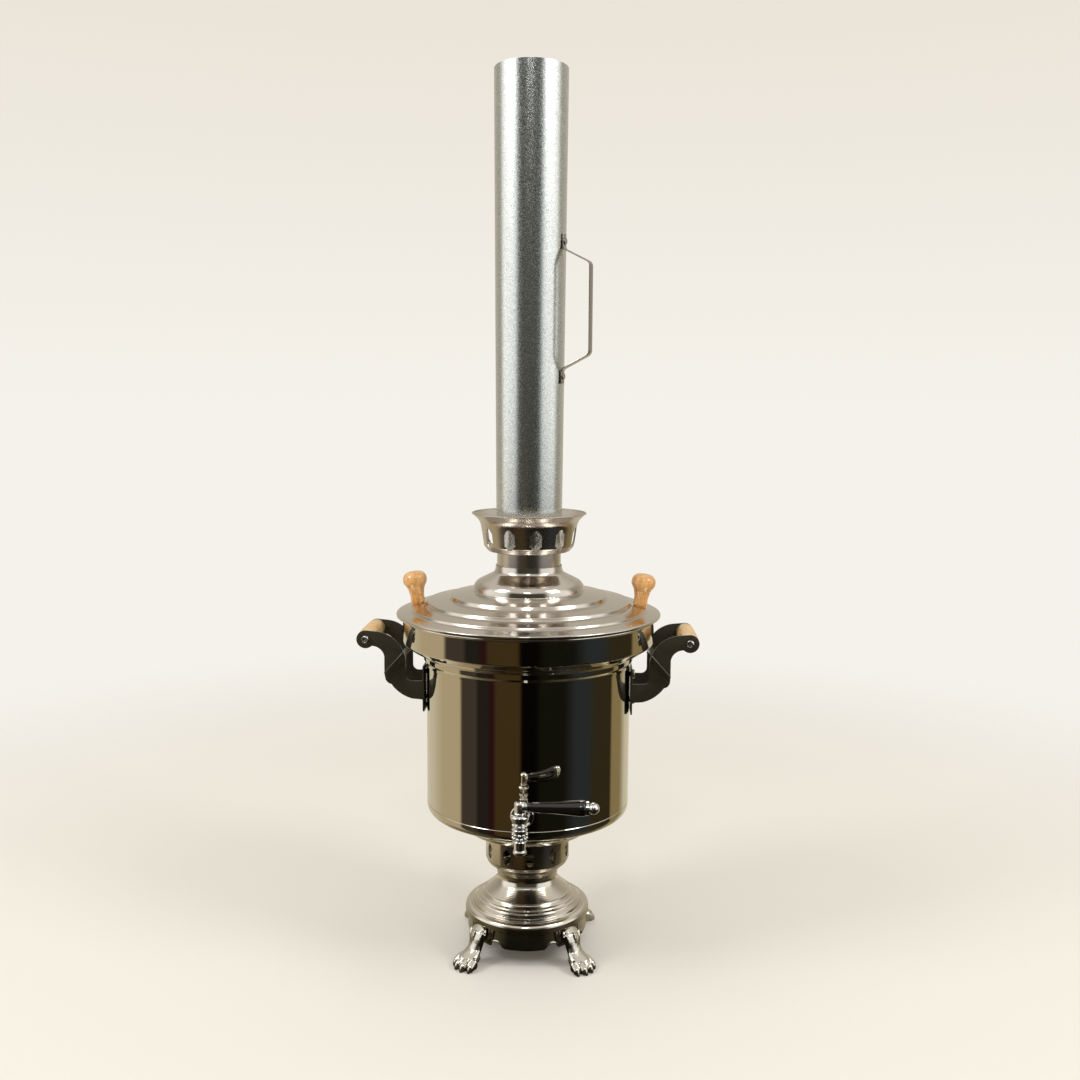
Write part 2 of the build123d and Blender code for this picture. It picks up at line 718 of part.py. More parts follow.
gland_top = barrel_top + seat_gap + gland_plate
with BuildPart() as tap_gland_nut:
    with BuildSketch(tap_plane):
        with BuildLine():
            FilletPolyline(
                [
                    (stem_radius + plug_gap, gland_top),
                    *[(gland_radius - inset, gland_top - drop) for inset, drop, _ in gland_outline],
                    (spout_radius + gland_foot[0], gland_top - gland_foot[1]),
                    (spout_radius + seat_gap, gland_top - gland_foot[1]),
                    (spout_radius + seat_gap, barrel_top + seat_gap),
                    (stem_radius + plug_gap, barrel_top + seat_gap),
                ],
                radius=[*[bend for _, _, bend in gland_outline], *[gland_bend] * 3],
            )
            Line((stem_radius + plug_gap, barrel_top + seat_gap), (stem_radius + plug_gap, gland_top))
        make_face()
    revolve(axis=tap_axis)
save(tap_gland_nut.part, "tap_gland_nut")

lever_height = tap_height + lever_rise
head_base = gland_top + seat_gap
ball_base = grip_end + 1.6
lever_plane = Plane(origin=(0, tap_axis_y, lever_height), z_dir=(1, 0, 0))
lever_profile = Plane(origin=(0, tap_axis_y, lever_height), x_dir=(1, 0, 0), z_dir=(0, -1, 0))
lever_axis = Axis((0, tap_axis_y, lever_height), (1, 0, 0))
with BuildPart() as tap_key:
    with BuildSketch(tap_plane):
        with BuildLine():
            Polyline(
                (0, plug_base),
                (plug_radius - plug_gap, plug_base),
                (plug_radius - plug_gap, barrel_top),
                (stem_radius, barrel_top),
                (stem_radius, head_base),
            )
            crown_of_key = FilletPolyline(
                [
                    (stem_radius, head_base),
                    (key_head_radius, head_base),
                    (key_head_radius, head_base + key_head_height - key_head_roll),
                    (key_head_radius - key_head_roll, head_base + key_head_height),
                    (0, head_base + key_head_height + key_head_dome),
                ],
                radius=[0.6, 0.8, 0.8],
            )
            Line(crown_of_key @ 1, (0, plug_base))
        make_face()
    revolve(axis=tap_axis)
    with BuildSketch(Plane.XY.offset(head_base + key_head_roll)):
        with Locations((0, tap_axis_y)):
            Circle(2 * key_head_radius)
            RegularPolygon(key_head_radius, 8, rotation=22.5, mode=Mode.SUBTRACT)
    extrude(amount=key_head_height - 2 * key_head_roll, mode=Mode.SUBTRACT)
    with BuildSketch(lever_plane):
        Circle(grip_root_radius - 0.8)
    extrude(amount=grip_start)
    with BuildSketch(lever_plane):
        Circle(lever_rod_radius)
    extrude(amount=ball_base + 2.0)
    with BuildSketch(Plane.XY.offset(plug_base)):
        with Locations((0, tap_axis_y)):
            Circle(shank_bore)
    extrude(amount=tap_height + 4.0 - plug_base, mode=Mode.SUBTRACT)
    with BuildSketch(Plane.YZ):
        with Locations((tap_axis_y, tap_height)):
            Circle(shank_bore - 0.4)
    extrude(amount=-barrel_radius, mode=Mode.SUBTRACT)
save(tap_key.part, "tap_key")

with BuildPart() as tap_grip:
    with BuildSketch(lever_profile):
        with BuildLine():
            Polyline(
                (grip_start + press_gap, lever_rod_radius + press_gap),
                (grip_start + press_gap, grip_root_radius),
                (grip_end, grip_tip_radius),
                (grip_end, lever_rod_radius + press_gap),
                close=True,
            )
        make_face()
    revolve(axis=lever_axis)
    fillet(tap_grip.edges().filter_by(GeomType.CIRCLE).group_by(SortBy.RADIUS)[-1], 1.2)
    fillet(tap_grip.edges().filter_by(GeomType.CIRCLE).sort_by(Axis.X)[0:2].sort_by(SortBy.RADIUS)[-1], 0.6)
save(tap_grip.part, "tap_grip")

ball_centre = ball_base + 1.4 + 0.7 * ball_radius
with BuildPart() as tap_ball:
    with BuildSketch(lever_profile):
        with Locations((ball_centre, 0)):
            Circle(ball_radius)
        with Locations((grip_end + seat_gap + 1.1, 0)):
            Rectangle(2.2, 2 * (grip_tip_radius - 0.8))
        with Locations((ball_centre, -2 * ball_radius)):
            Rectangle(8 * ball_radius, 4 * ball_radius, mode=Mode.SUBTRACT)
        with Locations((ball_base + 2.0 + press_gap - ball_radius, 0)):
            Rectangle(2 * ball_radius, 2 * (lever_rod_radius + press_gap), mode=Mode.SUBTRACT)
    revolve(axis=lever_axis)
save(tap_ball.part, "tap_ball")

gasket_radius = flange_radius - 0.8
gasket_base = flange_back + press_gap
inner_face = body_radius - shell_wall
washer_base = body_radius + tap_reach - sqrt(inner_face**2 - gasket_radius**2) + press_gap
washer_thickness = 2.0
locknut_height = 5.0
for name, start, thickness in (
    ("tap_gasket", gasket_base, tap_reach - gasket_base - press_gap),
    ("tap_inner_washer", washer_base, washer_thickness),
):
    with BuildPart() as washer:
        with BuildSketch(shank_plane.offset(start)):
            Circle(gasket_radius)
            Circle(thread_radius + press_gap, mode=Mode.SUBTRACT)
        extrude(amount=thickness)
    save(washer.part, name)

with BuildPart() as tap_locknut:
    with BuildSketch(shank_plane.offset(washer_base + washer_thickness + press_gap)):
        RegularPolygon(gasket_radius - 0.8, 6)
        Circle(thread_radius + press_gap, mode=Mode.SUBTRACT)
    extrude(amount=locknut_height)
save(tap_locknut.part, "tap_locknut")

# ---- lid -----------------------------------------------------------------------------------
knob_radius_out = lid_radius - knob_inset
knob_lean = Vector(sin(radians(knob_tilt)), 0, cos(radians(knob_tilt)))
knob_across = Vector(cos(radians(knob_tilt)), 0, -sin(radians(knob_tilt)))
knob_seat = Vector(knob_radius_out, 0, lid_surface(knob_radius_out))
knob_plane = Plane(origin=knob_seat, x_dir=knob_across, z_dir=(0, -1, 0))
knob_axis = Axis(knob_seat, knob_lean)
knob_foot = Plane(origin=knob_seat, z_dir=knob_lean)
lid_steps = []
for inset, rise, drop in reversed(list(zip(step_insets, step_rises, step_drops))):
    lid_steps.append((lid_radius - inset, rim_height + rise))
    lid_steps.append((lid_radius - inset + step_run * drop, rim_height + rise - drop))
with BuildPart() as lid:
    with BuildSketch(Plane.XZ):
        with BuildLine():
            FilletPolyline(
                [
                    (neck_lip_radius, neck_top),
                    *[(neck_lip_radius + reach, neck_top - drop) for reach, drop, _ in neck_outline],
                    *lid_steps,
                    *[(lid_radius - inset, rim_height + rise) for inset, rise in rim_turn],
                    (lid_radius, rim_height - rim_lip),
                ],
                radius=[
                    *[bend for _, _, bend in neck_outline],
                    *[step_fillet] * (len(lid_steps) + len(rim_turn)),
                ],
            )
            offset(amount=shell_wall, side=Side.RIGHT)
        make_face()
        with Locations((flue_top_radius + slip_gap, neck_top - crown_seat_drop - shell_wall)):
            Rectangle(
                neck_lip_radius + shell_wall / 4 - flue_top_radius - slip_gap,
                shell_wall,
                align=(Align.MIN, Align.MIN),
            )
    revolve(axis=Axis.Z)
    with BuildSketch(knob_foot.offset(-4 * shell_wall)):
        Circle(knob_screw_radius + hole_gap)
    knob_hole = extrude(amount=6 * shell_wall, mode=Mode.PRIVATE)
    add(knob_hole, mode=Mode.SUBTRACT)
    add(Rot(0, 0, 180) * knob_hole, mode=Mode.SUBTRACT)
save(lid.part, "lid")

skirt_radius = inner_face - skirt_gap
flange_level = mouth_height + seat_gap
flange_end = band_radius - flange_inset
turned_edge = lid_surface(flange_end + flange_turn) - 2 * shell_wall - press_gap
with BuildPart() as lid_seat_ring:
    with BuildSketch(Plane.XZ):
        with BuildLine():
            FilletPolyline(
                [
                    (skirt_radius, mouth_height - skirt_depth),
                    (skirt_radius, flange_level),
                    (flange_end, flange_level),
                    (flange_end + flange_turn, turned_edge),
                ],
                radius=[0.6, 0.4],
            )
            offset(amount=shell_wall, side=Side.LEFT)
        make_face()
    revolve(axis=Axis.Z)
save(lid_seat_ring.part, "lid_seat_ring")

lid_slope = lid_surface(knob_radius_out) - lid_surface(knob_radius_out + 1.0)
knob_cut = Plane(origin=knob_seat + Vector(0, 0, press_gap), z_dir=(lid_slope, 0, 1))
knob_screw_depth = 14.0
with BuildPart() as knob:
    with BuildSketch(knob_plane):
        with BuildLine():
            root = Polyline(
                (0, -knob_root),
                (knob_foot_radius, -knob_root),
                (knob_foot_radius, 0),
                knob_neck[0],
            )
            neck = Spline(root @ 1, *knob_neck[1:], tangents=[(0, 1), (3, 4)])
            head = Spline(neck @ 1, *knob_head, tangents=[(1, 1), (-1, 0)])
            Line(head @ 1, root @ 0)
        make_face()
    revolve(axis=knob_axis)
    with BuildSketch(knob_foot.offset(-knob_root)):
        Circle(knob_screw_radius)
    extrude(amount=knob_root + knob_screw_depth, mode=Mode.SUBTRACT)
    split(bisect_by=knob_cut, keep=Keep.TOP)

screw_seat = knob_foot.offset(-shell_wall - 0.9)
with BuildPart() as knob_screws:
    one_screw = pan_screw(screw_seat, knob_screw_radius - press_gap, knob_screw_depth, 4.0, 2.4)
    add(one_screw)
    add(Rot(0, 0, 180) * one_screw)
save(knob_screws.part, "knob_screws")
for side, turn in (("right", 0), ("left", 180)):
    save(Rot(0, 0, turn) * knob.part, f"lid_knob_{side}")

# ---- crown ---------------------------------------------------------------------------------
with BuildPart() as crown:
    with BuildSketch(Plane.XZ):
        with BuildLine():
            FilletPolyline(
                [
                    (crown_neck_radius, crown_base),
                    (crown_neck_radius, bowl_base),
                    (crown_neck_radius + bowl_floor, bowl_base + 0.5),
                    (crown_neck_radius + bowl_foot, bowl_base + bowl_foot_rise),
                    (crown_neck_radius + bowl_side, bowl_base + bowl_side_rise),
                    (crown_neck_radius + bowl_rim, bowl_base + bowl_rim_rise),
                ],
                radius=[1.2, 2.5, 4.0, 14.0],
            )
            offset(amount=shell_wall, side=Side.LEFT)
        make_face()
    revolve(axis=Axis.Z)
    slot_middle = bowl_base + crown_slot_rise
    for slot in range(crown_slots):
        turn = -90 + crown_slot_turn + slot * 360 / crown_slots
        with BuildSketch(polar_plane(turn, crown_neck_radius + bowl_floor, slot_middle)):
            notched_slot(crown_slot_width, crown_slot_height)
        extrude(amount=bowl_side, mode=Mode.SUBTRACT)
save(crown.part, "crown")

sleeve_foot = crown_base + 4.0
with BuildPart() as crown_sleeve:
    with BuildSketch(Plane.XZ):
        with BuildLine():
            Polyline(
                (sleeve_neck_radius, sleeve_foot),
                (sleeve_neck_radius, bowl_base - 1.0),
                (sleeve_radius, bowl_base + 2.0),
                (sleeve_radius, bowl_base + sleeve_height),
            )
            offset(amount=shell_wall, side=Side.LEFT)
        make_face()
    revolve(axis=Axis.Z)
save(crown_sleeve.part, "crown_sleeve")

# ---- chimney -------------------------------------------------------------------------------
pipe_top = pipe_base + chimney_length


def pipe_radius(rise):
    """Outer radius of the tapered pipe at this height above its foot."""
    return pipe_foot_radius + (chimney_top_radius - pipe_foot_radius) * rise / chimney_length


loop_levels = [
    loop_low,
    loop_low + loop_tab,
    loop_low + loop_tab + loop_slope,
    loop_low + loop_tab + loop_slope + loop_grip,
    loop_low + loop_tab + 2 * loop_slope + loop_grip,
    loop_low + 2 * loop_tab + 2 * loop_slope + loop_grip,
]
low_tab = pipe_radius(loop_levels[1]) + press_gap
high_tab = pipe_radius(loop_levels[-1]) + press_gap
grip_line = high_tab + loop_out
rivet_places = [(loop_low + loop_tab / 2, low_tab), (loop_levels[-1] - loop_tab / 2, high_tab)]
loop_plane = radial_plane(loop_turn)

with BuildPart() as chimney_pipe:
    with BuildSketch(Plane.XZ):
        with BuildLine():
            Polyline(
                (pipe_foot_radius - pipe_wall, pipe_base),
                (pipe_foot_radius, pipe_base),
                (chimney_top_radius, pipe_top),
                (chimney_top_radius - pipe_wall, pipe_top),
                close=True,
            )
        make_face()
    revolve(axis=Axis.Z)
    with BuildSketch(Plane.YZ):
        with BuildLine():
            Polyline(
                (pipe_foot_radius - pipe_wall / 2, pipe_base),
                (pipe_foot_radius + lock_seam_depth, pipe_base),
                (chimney_top_radius + lock_seam_depth, pipe_top),
                (chimney_top_radius - pipe_wall / 2, pipe_top),
                close=True,
            )
        make_face()
    extrude(amount=lock_seam_width / 2, both=True)
    for level, tab in rivet_places:
        with BuildSketch(polar_plane(loop_turn, pipe_foot_radius / 2, pipe_base + level)):
            Circle(rivet_radius + press_gap)
        extrude(amount=pipe_foot_radius, mode=Mode.SUBTRACT)
save(chimney_pipe.part, "chimney_pipe")

with BuildPart() as chimney_handle:
    with BuildSketch(loop_plane):
        with BuildLine():
            FilletPolyline(
                [
                    (low_tab, pipe_base + loop_levels[0]),
                    (low_tab, pipe_base + loop_levels[1]),
                    (grip_line, pipe_base + loop_levels[2]),
                    (grip_line, pipe_base + loop_levels[3]),
                    (high_tab, pipe_base + loop_levels[4]),
                    (high_tab, pipe_base + loop_levels[5]),
                ],
                radius=loop_bend,
            )
            offset(amount=loop_sheet, side=Side.RIGHT)
        make_face()
    extrude(amount=loop_width / 2, both=True)
    for level, tab in rivet_places:
        with BuildSketch(polar_plane(loop_turn, tab - loop_sheet, pipe_base + level)):
            Circle(rivet_radius + press_gap)
        extrude(amount=3 * loop_sheet, mode=Mode.SUBTRACT)
save(chimney_handle.part, "chimney_handle")

rivet_head = 1.4
with BuildPart() as chimney_rivets:
    for level, tab in rivet_places:
        hole_edge = sqrt((pipe_radius(level) - pipe_wall) ** 2 - (2 * rivet_radius) ** 2) - press_gap
        grip_through = tab + loop_sheet + press_gap - hole_edge
        inner = polar_plane(loop_turn, hole_edge, pipe_base + level)
        add(pan_screw(inner, rivet_radius, grip_through, 1.8 * rivet_radius, rivet_head))
        with BuildSketch(inner.offset(grip_through)):
            Circle(1.8 * rivet_radius)
        extrude(amount=rivet_head)
save(chimney_rivets.part, "chimney_rivets")
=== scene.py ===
import bpy
import bmesh
import json
from math import cos, pi, radians, sin, tan
from mathutils import Matrix, Vector


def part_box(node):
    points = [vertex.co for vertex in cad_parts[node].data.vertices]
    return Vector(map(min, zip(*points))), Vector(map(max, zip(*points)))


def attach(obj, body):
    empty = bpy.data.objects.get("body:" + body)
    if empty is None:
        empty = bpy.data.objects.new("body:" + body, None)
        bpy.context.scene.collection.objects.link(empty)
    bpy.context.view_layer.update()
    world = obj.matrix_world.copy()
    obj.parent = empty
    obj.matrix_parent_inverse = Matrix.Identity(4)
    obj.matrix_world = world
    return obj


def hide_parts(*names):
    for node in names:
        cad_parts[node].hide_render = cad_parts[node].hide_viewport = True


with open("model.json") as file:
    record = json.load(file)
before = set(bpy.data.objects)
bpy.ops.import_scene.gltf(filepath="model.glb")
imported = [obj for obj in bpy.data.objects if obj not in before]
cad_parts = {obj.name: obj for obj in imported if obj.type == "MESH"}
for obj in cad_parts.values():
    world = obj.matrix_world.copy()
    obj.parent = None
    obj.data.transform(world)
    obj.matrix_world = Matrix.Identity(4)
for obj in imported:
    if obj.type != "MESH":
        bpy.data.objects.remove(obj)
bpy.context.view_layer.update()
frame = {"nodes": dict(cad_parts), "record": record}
nodes = frame["nodes"]
mm = 0.001  # outlines are written in millimetres, objects are made in metres


def boxOf(node):
    low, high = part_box(node)
    return low / mm, high / mm


# sizes read from the frame, in millimetres
seamHeight = boxOf("vessel_shell")[0].z
mouthHeight = boxOf("vessel_shell")[1].z
bandRadius = boxOf("collar_ring")[1].x
bellTop = boxOf("base_bell")[1].z
lidRadius = boxOf("lid")[1].x
crownRadius = boxOf("crown")[1].x
crownTop = boxOf("crown")[1].z
tapAxisY = -140.0                   # upright axis of the tap's key
tapHeight = seamHeight + 16.0       # axis of the tap's shank
print("frame sizes read")

near = {                # how close two points count as one, in millimetres
    "corner": 0.02,     # at a corner of an outline
    "seam": 0.01,       # along the seam of a spun or copied surface
    "double": 0.002,    # doubles that a bevel or a boolean cut leaves
    "saw": 0.001,       # from the plane of a level cut
}


# selecting and editing
def deselectAll():
    if bpy.context.object and bpy.context.object.mode != "OBJECT":
        bpy.ops.object.mode_set(mode="OBJECT")
    bpy.ops.object.select_all(action="DESELECT")


def activate(piece):
    deselectAll()
    bpy.context.view_layer.objects.active = piece
    piece.select_set(True)


def editAll(piece):
    # edit mode with everything selected
    activate(piece)
    bpy.ops.object.mode_set(mode="EDIT")
    bpy.ops.mesh.select_all(action="SELECT")


def pickVertices(piece, test):
    # in edit mode: selects the vertices whose place passes the test
    mesh = bmesh.from_edit_mesh(piece.data)
    for vertex in mesh.verts:
        vertex.select_set(bool(test(vertex.co)))
    mesh.select_flush_mode()
    bmesh.update_edit_mesh(piece.data)


def applyModifier(piece, kind, **settings):
    activate(piece)
    modifier = piece.modifiers.new(kind.lower(), kind)
    for key, value in settings.items():
        setattr(modifier, key, value)
    bpy.ops.object.modifier_apply(modifier=modifier.name)


def smoothShade(piece, angle=35):
    activate(piece)
    bpy.ops.object.shade_smooth_by_angle(angle=radians(angle))


def settle(piece):
    # puts the place and turn into the mesh, with the origin at the frame's origin
    activate(piece)
    bpy.ops.object.transform_apply(location=True, rotation=True, scale=True)


def rename(piece, name):
    piece.name = name
    piece.data.name = name


def closeUp(piece):
    # merges the points of a seam and turns all faces outwards
    editAll(piece)
    bpy.ops.mesh.remove_doubles(threshold=near["seam"] * mm)
    bpy.ops.mesh.normals_make_consistent(inside=False)
    bpy.ops.object.mode_set(mode="OBJECT")


def weldDoubles(piece):
    editAll(piece)
    bpy.ops.mesh.remove_doubles(threshold=near["double"] * mm)
    bpy.ops.object.mode_set(mode="OBJECT")


# drawing an outline and turning it
def drawOutline(name, outline):
    # one vertex extruded from point to point in the XZ plane, then its corners rounded
    deselectAll()
    bpy.ops.mesh.primitive_plane_add(size=0.01)
    piece = bpy.context.object
    rename(piece, name)
    editAll(piece)
    bpy.ops.mesh.merge(type="CENTER")
    here = Vector((0, 0, 0))
    for index, point in enumerate(outline):
        there = Vector((point[0], 0, point[1])) * mm
        if index == 0:
            bpy.ops.transform.translate(value=there - here)
        else:
            bpy.ops.mesh.extrude_vertices_move(TRANSFORM_OT_translate={"value": there - here})
        here = there
    for before, corner, after in zip(outline, outline[1:], outline[2:]):
        if len(corner) > 2:
            roundCorner(piece, before, corner, after)
    return piece


def roundCorner(piece, before, corner, after):
    # an arc of the radius in corner[2], as a bevel of that vertex, in steps of about 12 degrees
    place = Vector((corner[0], 0, corner[1])) * mm
    arrive = Vector((corner[0] - before[0], corner[1] - before[1]))
    leave = Vector((after[0] - corner[0], after[1] - corner[1]))
    turn = abs(arrive.angle_signed(leave))
    pickVertices(piece, lambda co: (co - place).length < near["corner"] * mm)
    reach = corner[2] * mm * tan(turn / 2)
    steps = max(3, int(turn / radians(12)))
    bpy.ops.mesh.bevel(offset=reach, segments=steps, affect="VERTICES", clamp_overlap=True)


def spinOutline(name, outline, steps, wall=0.0):
    # turns the outline round the upright axis; a wall makes sheet of the surface
    piece = drawOutline(name, outline)
    bpy.ops.mesh.select_all(action="SELECT")
    bpy.ops.mesh.spin(steps=steps, angle=2 * pi, center=(0, 0, 0), axis=(0, 0, 1))
    closeUp(piece)
    if wall:
        applyModifier(piece, "SOLIDIFY", thickness=wall * mm, offset=-1)
    smoothShade(piece)
    return piece


# copying, joining and fitting
def copyPiece(piece, name):
    # a copy with its own mesh
    twin = piece.copy()
    twin.data = piece.data.copy()
    rename(twin, name)
    bpy.context.scene.collection.objects.link(twin)
    return twin


def copyNode(node, name):
    # a merged copy of a CAD node's mesh, to finish further
    piece = copyPiece(nodes[node], name)
    for key in list(piece.keys()):
        del piece[key]
    piece.parent = None
    closeUp(piece)
    return piece


def joinPieces(name, pieces):
    deselectAll()
    for piece in pieces:
        piece.select_set(True)
    bpy.context.view_layer.objects.active = pieces[0]
    bpy.ops.object.join()
    joined = bpy.context.object
    rename(joined, name)
    settle(joined)
    return joined


def install(piece, body, finish, slot, *replaced):
    # the piece rides on its body, wears its finish and stands for its CAD nodes
    piece.data.materials.clear()
    piece.data.materials.append(finish)
    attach(piece, body)
    if replaced:
        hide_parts(*replaced)


# modelling a casting from lumps of clay
def addLump(place, size):
    # an ellipsoid with these half axes, in millimetres
    deselectAll()
    bpy.ops.mesh.primitive_uv_sphere_add(
        segments=16, ring_count=10, radius=mm, location=Vector(place) * mm)
    lump = bpy.context.object
    lump.scale = size
    return lump


def addTrail(stations, steps=6):
    # lumps laid from station to station: (place, half axes)
    lumps = []
    for (place, size), (nextPlace, nextSize) in zip(stations, stations[1:]):
        for step in range(steps):
            share = step / steps
            between = Vector(place).lerp(Vector(nextPlace), share)
            lumps.append(addLump(between, Vector(size).lerp(Vector(nextSize), share)))
    lumps.append(addLump(*stations[-1]))
    return lumps


def castSkin(piece, voxel, smoothing):
    # one skin over all that was joined, rubbed smooth as a polished casting is
    applyModifier(piece, "REMESH", mode="VOXEL", voxel_size=voxel * mm)
    applyModifier(piece, "SMOOTH", factor=0.5, iterations=smoothing)
    activate(piece)
    bpy.ops.object.shade_smooth()


def sawLevel(piece, height):
    # saws off what is below this height and closes the cut
    editAll(piece)
    bpy.ops.mesh.bisect(
        plane_co=(0, 0, height * mm), plane_no=(0, 0, 1), use_fill=True, clear_inner=True,
        threshold=near["saw"] * mm)
    bpy.ops.object.mode_set(mode="OBJECT")


# tools for the finishes
def colour(text):
    # sRGB hex to the linear colour that the shader takes
    parts = [int(text[place:place + 2], 16) / 255 for place in (0, 2, 4)]
    return tuple(v / 12.92 if v <= 0.04045 else ((v + 0.055) / 1.055) ** 2.4 for v in parts) + (1.0,)


def fillRamp(ramp, stops):
    # stops: (position, sRGB hex), from the first position to the last
    first, *between, last = stops
    for element, (position, text) in zip(ramp.elements, (first, last)):
        element.position, element.color = position, colour(text)
    for position, text in between:
        ramp.elements.new(position).color = colour(text)


def addNode(tree, kind, settings=None, links=None):
    node = tree.nodes.new(kind)
    for key, value in (settings or {}).items():
        if key == "stops":
            fillRamp(node.color_ramp, value)
        elif isinstance(key, int) or key in node.inputs:
            node.inputs[key].default_value = value
        else:
            setattr(node, key, value)
    for key, socket in (links or {}).items():
        tree.links.new(socket, node.inputs[key])
    return node


def newFinish(name, settings):
    finish = bpy.data.materials.new(name)
    finish.use_nodes = True
    tree = finish.node_tree
    for key, value in settings.items():
        tree.nodes["Principled BSDF"].inputs[key].default_value = value
    place = addNode(tree, "ShaderNodeTexCoord").outputs["Object"]
    return finish, tree, place


def showPattern(tree, pattern, tones=None, roughness=None, relief=None):
    # lets a pattern from 0 to 1 show in the surface: in two tones at their stops, as bright and dull
    # places, and as relief of a strength and a height in millimetres
    shader = tree.nodes["Principled BSDF"]
    if tones:
        ramp = addNode(tree, "ShaderNodeValToRGB", {"stops": tones}, {"Fac": pattern})
        tree.links.new(ramp.outputs["Color"], shader.inputs["Base Color"])
    if roughness:
        low, high = roughness
        dull = addNode(tree, "ShaderNodeMapRange", {"To Min": low, "To Max": high}, {"Value": pattern})
        tree.links.new(dull.outputs["Result"], shader.inputs["Roughness"])
    if relief:
        strength, height = relief
        bump = addNode(tree, "ShaderNodeBump", {
            "Strength": strength, "Distance": height * mm}, {"Height": pattern})
        tree.links.new(bump.outputs["Normal"], shader.inputs["Normal"])


# the finishes; a noise of scale 14 has patches of 1/14 metre, about 70 mm
def polishedSteel():
    # stainless steel 1.4301 sheet, buffed to a mirror: slightly warm, with polishing haze in wide
    # patches and a hint of roller waves about 55 mm long
    finish, tree, place = newFinish("mirrorPolishedStainless", {
        "Base Color": colour("d3cdbf"), "Metallic": 1.0, "Roughness": 0.04})
    haze = addNode(tree, "ShaderNodeTexNoise", {"Scale": 14.0, "Detail": 4.0}, {"Vector": place})
    showPattern(tree, haze.outputs["Fac"], roughness=(0.015, 0.06))
    wave = addNode(tree, "ShaderNodeTexNoise", {"Scale": 18.0, "Detail": 1.0}, {"Vector": place})
    showPattern(tree, wave.outputs["Fac"], relief=(0.05, 0.6))
    return finish


def spunSteel(name, tone, smooth, hazy):
    # stainless steel spun on a lathe and polished: fine rings, which stretch the highlights; the
    # tool's real marks are finer than these 1.4 mm, drawn coarse enough to show
    finish, tree, place = newFinish(name, {
        "Base Color": colour(tone), "Metallic": 1.0, "Roughness": smooth, "Anisotropic": 0.5})
    tangent = addNode(tree, "ShaderNodeTangent", {"direction_type": "RADIAL", "axis": "Z"})
    tree.links.new(tangent.outputs["Tangent"], tree.nodes["Principled BSDF"].inputs["Tangent"])
    rings = addNode(tree, "ShaderNodeTexWave", {
        "wave_type": "RINGS", "rings_direction": "Z", "Scale": 230.0, "Distortion": 1.5,
        "Detail": 2.0}, {"Vector": place})
    showPattern(tree, rings.outputs["Fac"], relief=(0.06, 0.4))
    haze = addNode(tree, "ShaderNodeTexNoise", {"Scale": 22.0, "Detail": 4.0}, {"Vector": place})
    showPattern(tree, haze.outputs["Fac"], roughness=(smooth, hazy))
    return finish


def heatTintedSteel():
    # unpolished stainless of the fire tube and sleeve, browned in clouds where the fire has been
    finish, tree, place = newFinish("heatTintedStainless", {
        "Base Color": colour("8f877c"), "Metallic": 1.0, "Roughness": 0.34})
    cloud = addNode(tree, "ShaderNodeTexNoise", {"Scale": 16.0, "Detail": 5.0}, {"Vector": place})
    showPattern(tree, cloud.outputs["Fac"], tones=[(0.35, "6d6459"), (0.68, "a79d8c")])
    return finish


def castIron():
    # raw grey iron casting, gritty by the millimetre from the sand mould and dusted with ash
    finish, tree, place = newFinish("rawCastIron", {
        "Base Color": colour("3a3735"), "Metallic": 0.85, "Roughness": 0.75})
    grit = addNode(tree, "ShaderNodeTexNoise", {"Scale": 900.0, "Detail": 3.0}, {"Vector": place})
    showPattern(tree, grit.outputs["Fac"], relief=(0.5, 0.3))
    return finish


def castAluminium():
    # aluminium alloy die casting, tumbled and polished: soft ripples about 11 mm long left from the
    # mould, bright in the hollows and duller on the high places
    finish, tree, place = newFinish("polishedCastAluminium", {
        "Base Color": colour("d4cfc4"), "Metallic": 1.0, "Roughness": 0.12})
    cloud = addNode(tree, "ShaderNodeTexNoise", {"Scale": 90.0, "Detail": 4.0}, {"Vector": place})
    showPattern(tree, cloud.outputs["Fac"], roughness=(0.06, 0.24), relief=(0.25, 0.6))
    return finish


def blackLacquer():
    # sheet steel under thin black stove lacquer: semi-matte, a little brown, a faint orange peel
    finish, tree, place = newFinish("blackStoveLacquer", {
        "Base Color": colour("2f2a1a"), "Roughness": 0.3, "Specular IOR Level": 0.7,
        "Coat Weight": 0.6, "Coat Roughness": 0.1})
    cloud = addNode(tree, "ShaderNodeTexNoise", {"Scale": 60.0, "Detail": 5.0}, {"Vector": place})
    showPattern(tree, cloud.outputs["Fac"], roughness=(0.26, 0.46), relief=(0.12, 0.3))
    return finish


def tapChrome():
    # chromium plate on a brass casting: hard, cool, nearly a mirror
    finish, tree, place = newFinish("chromePlatedBrass", {
        "Base Color": colour("dedddb"), "Metallic": 1.0, "Roughness": 0.05})
    haze = addNode(tree, "ShaderNodeTexNoise", {"Scale": 160.0, "Detail": 3.0}, {"Vector": place})
    showPattern(tree, haze.outputs["Fac"], roughness=(0.03, 0.09))
    return finish


def lightWood(name, dark, light):
    # birch, turned and dipped in clear lacquer: honey colour, darker flecks 4 mm wide and 10 mm long,
    # larger than birch has them so that they show
    finish, tree, place = newFinish(name, {
        "Base Color": colour(light), "Roughness": 0.3, "Coat Weight": 0.9, "Coat Roughness": 0.06})
    along = addNode(tree, "ShaderNodeMapping", {"Scale": (170.0, 170.0, 60.0)}, {"Vector": place})
    grain = addNode(tree, "ShaderNodeTexNoise", {
        "Scale": 1.6, "Detail": 6.0, "Roughness": 0.6, "Distortion": 0.6},
        {"Vector": along.outputs["Vector"]})
    showPattern(tree, grain.outputs["Fac"], tones=[(0.32, dark), (0.62, light)], relief=(0.1, 0.2))
    return finish


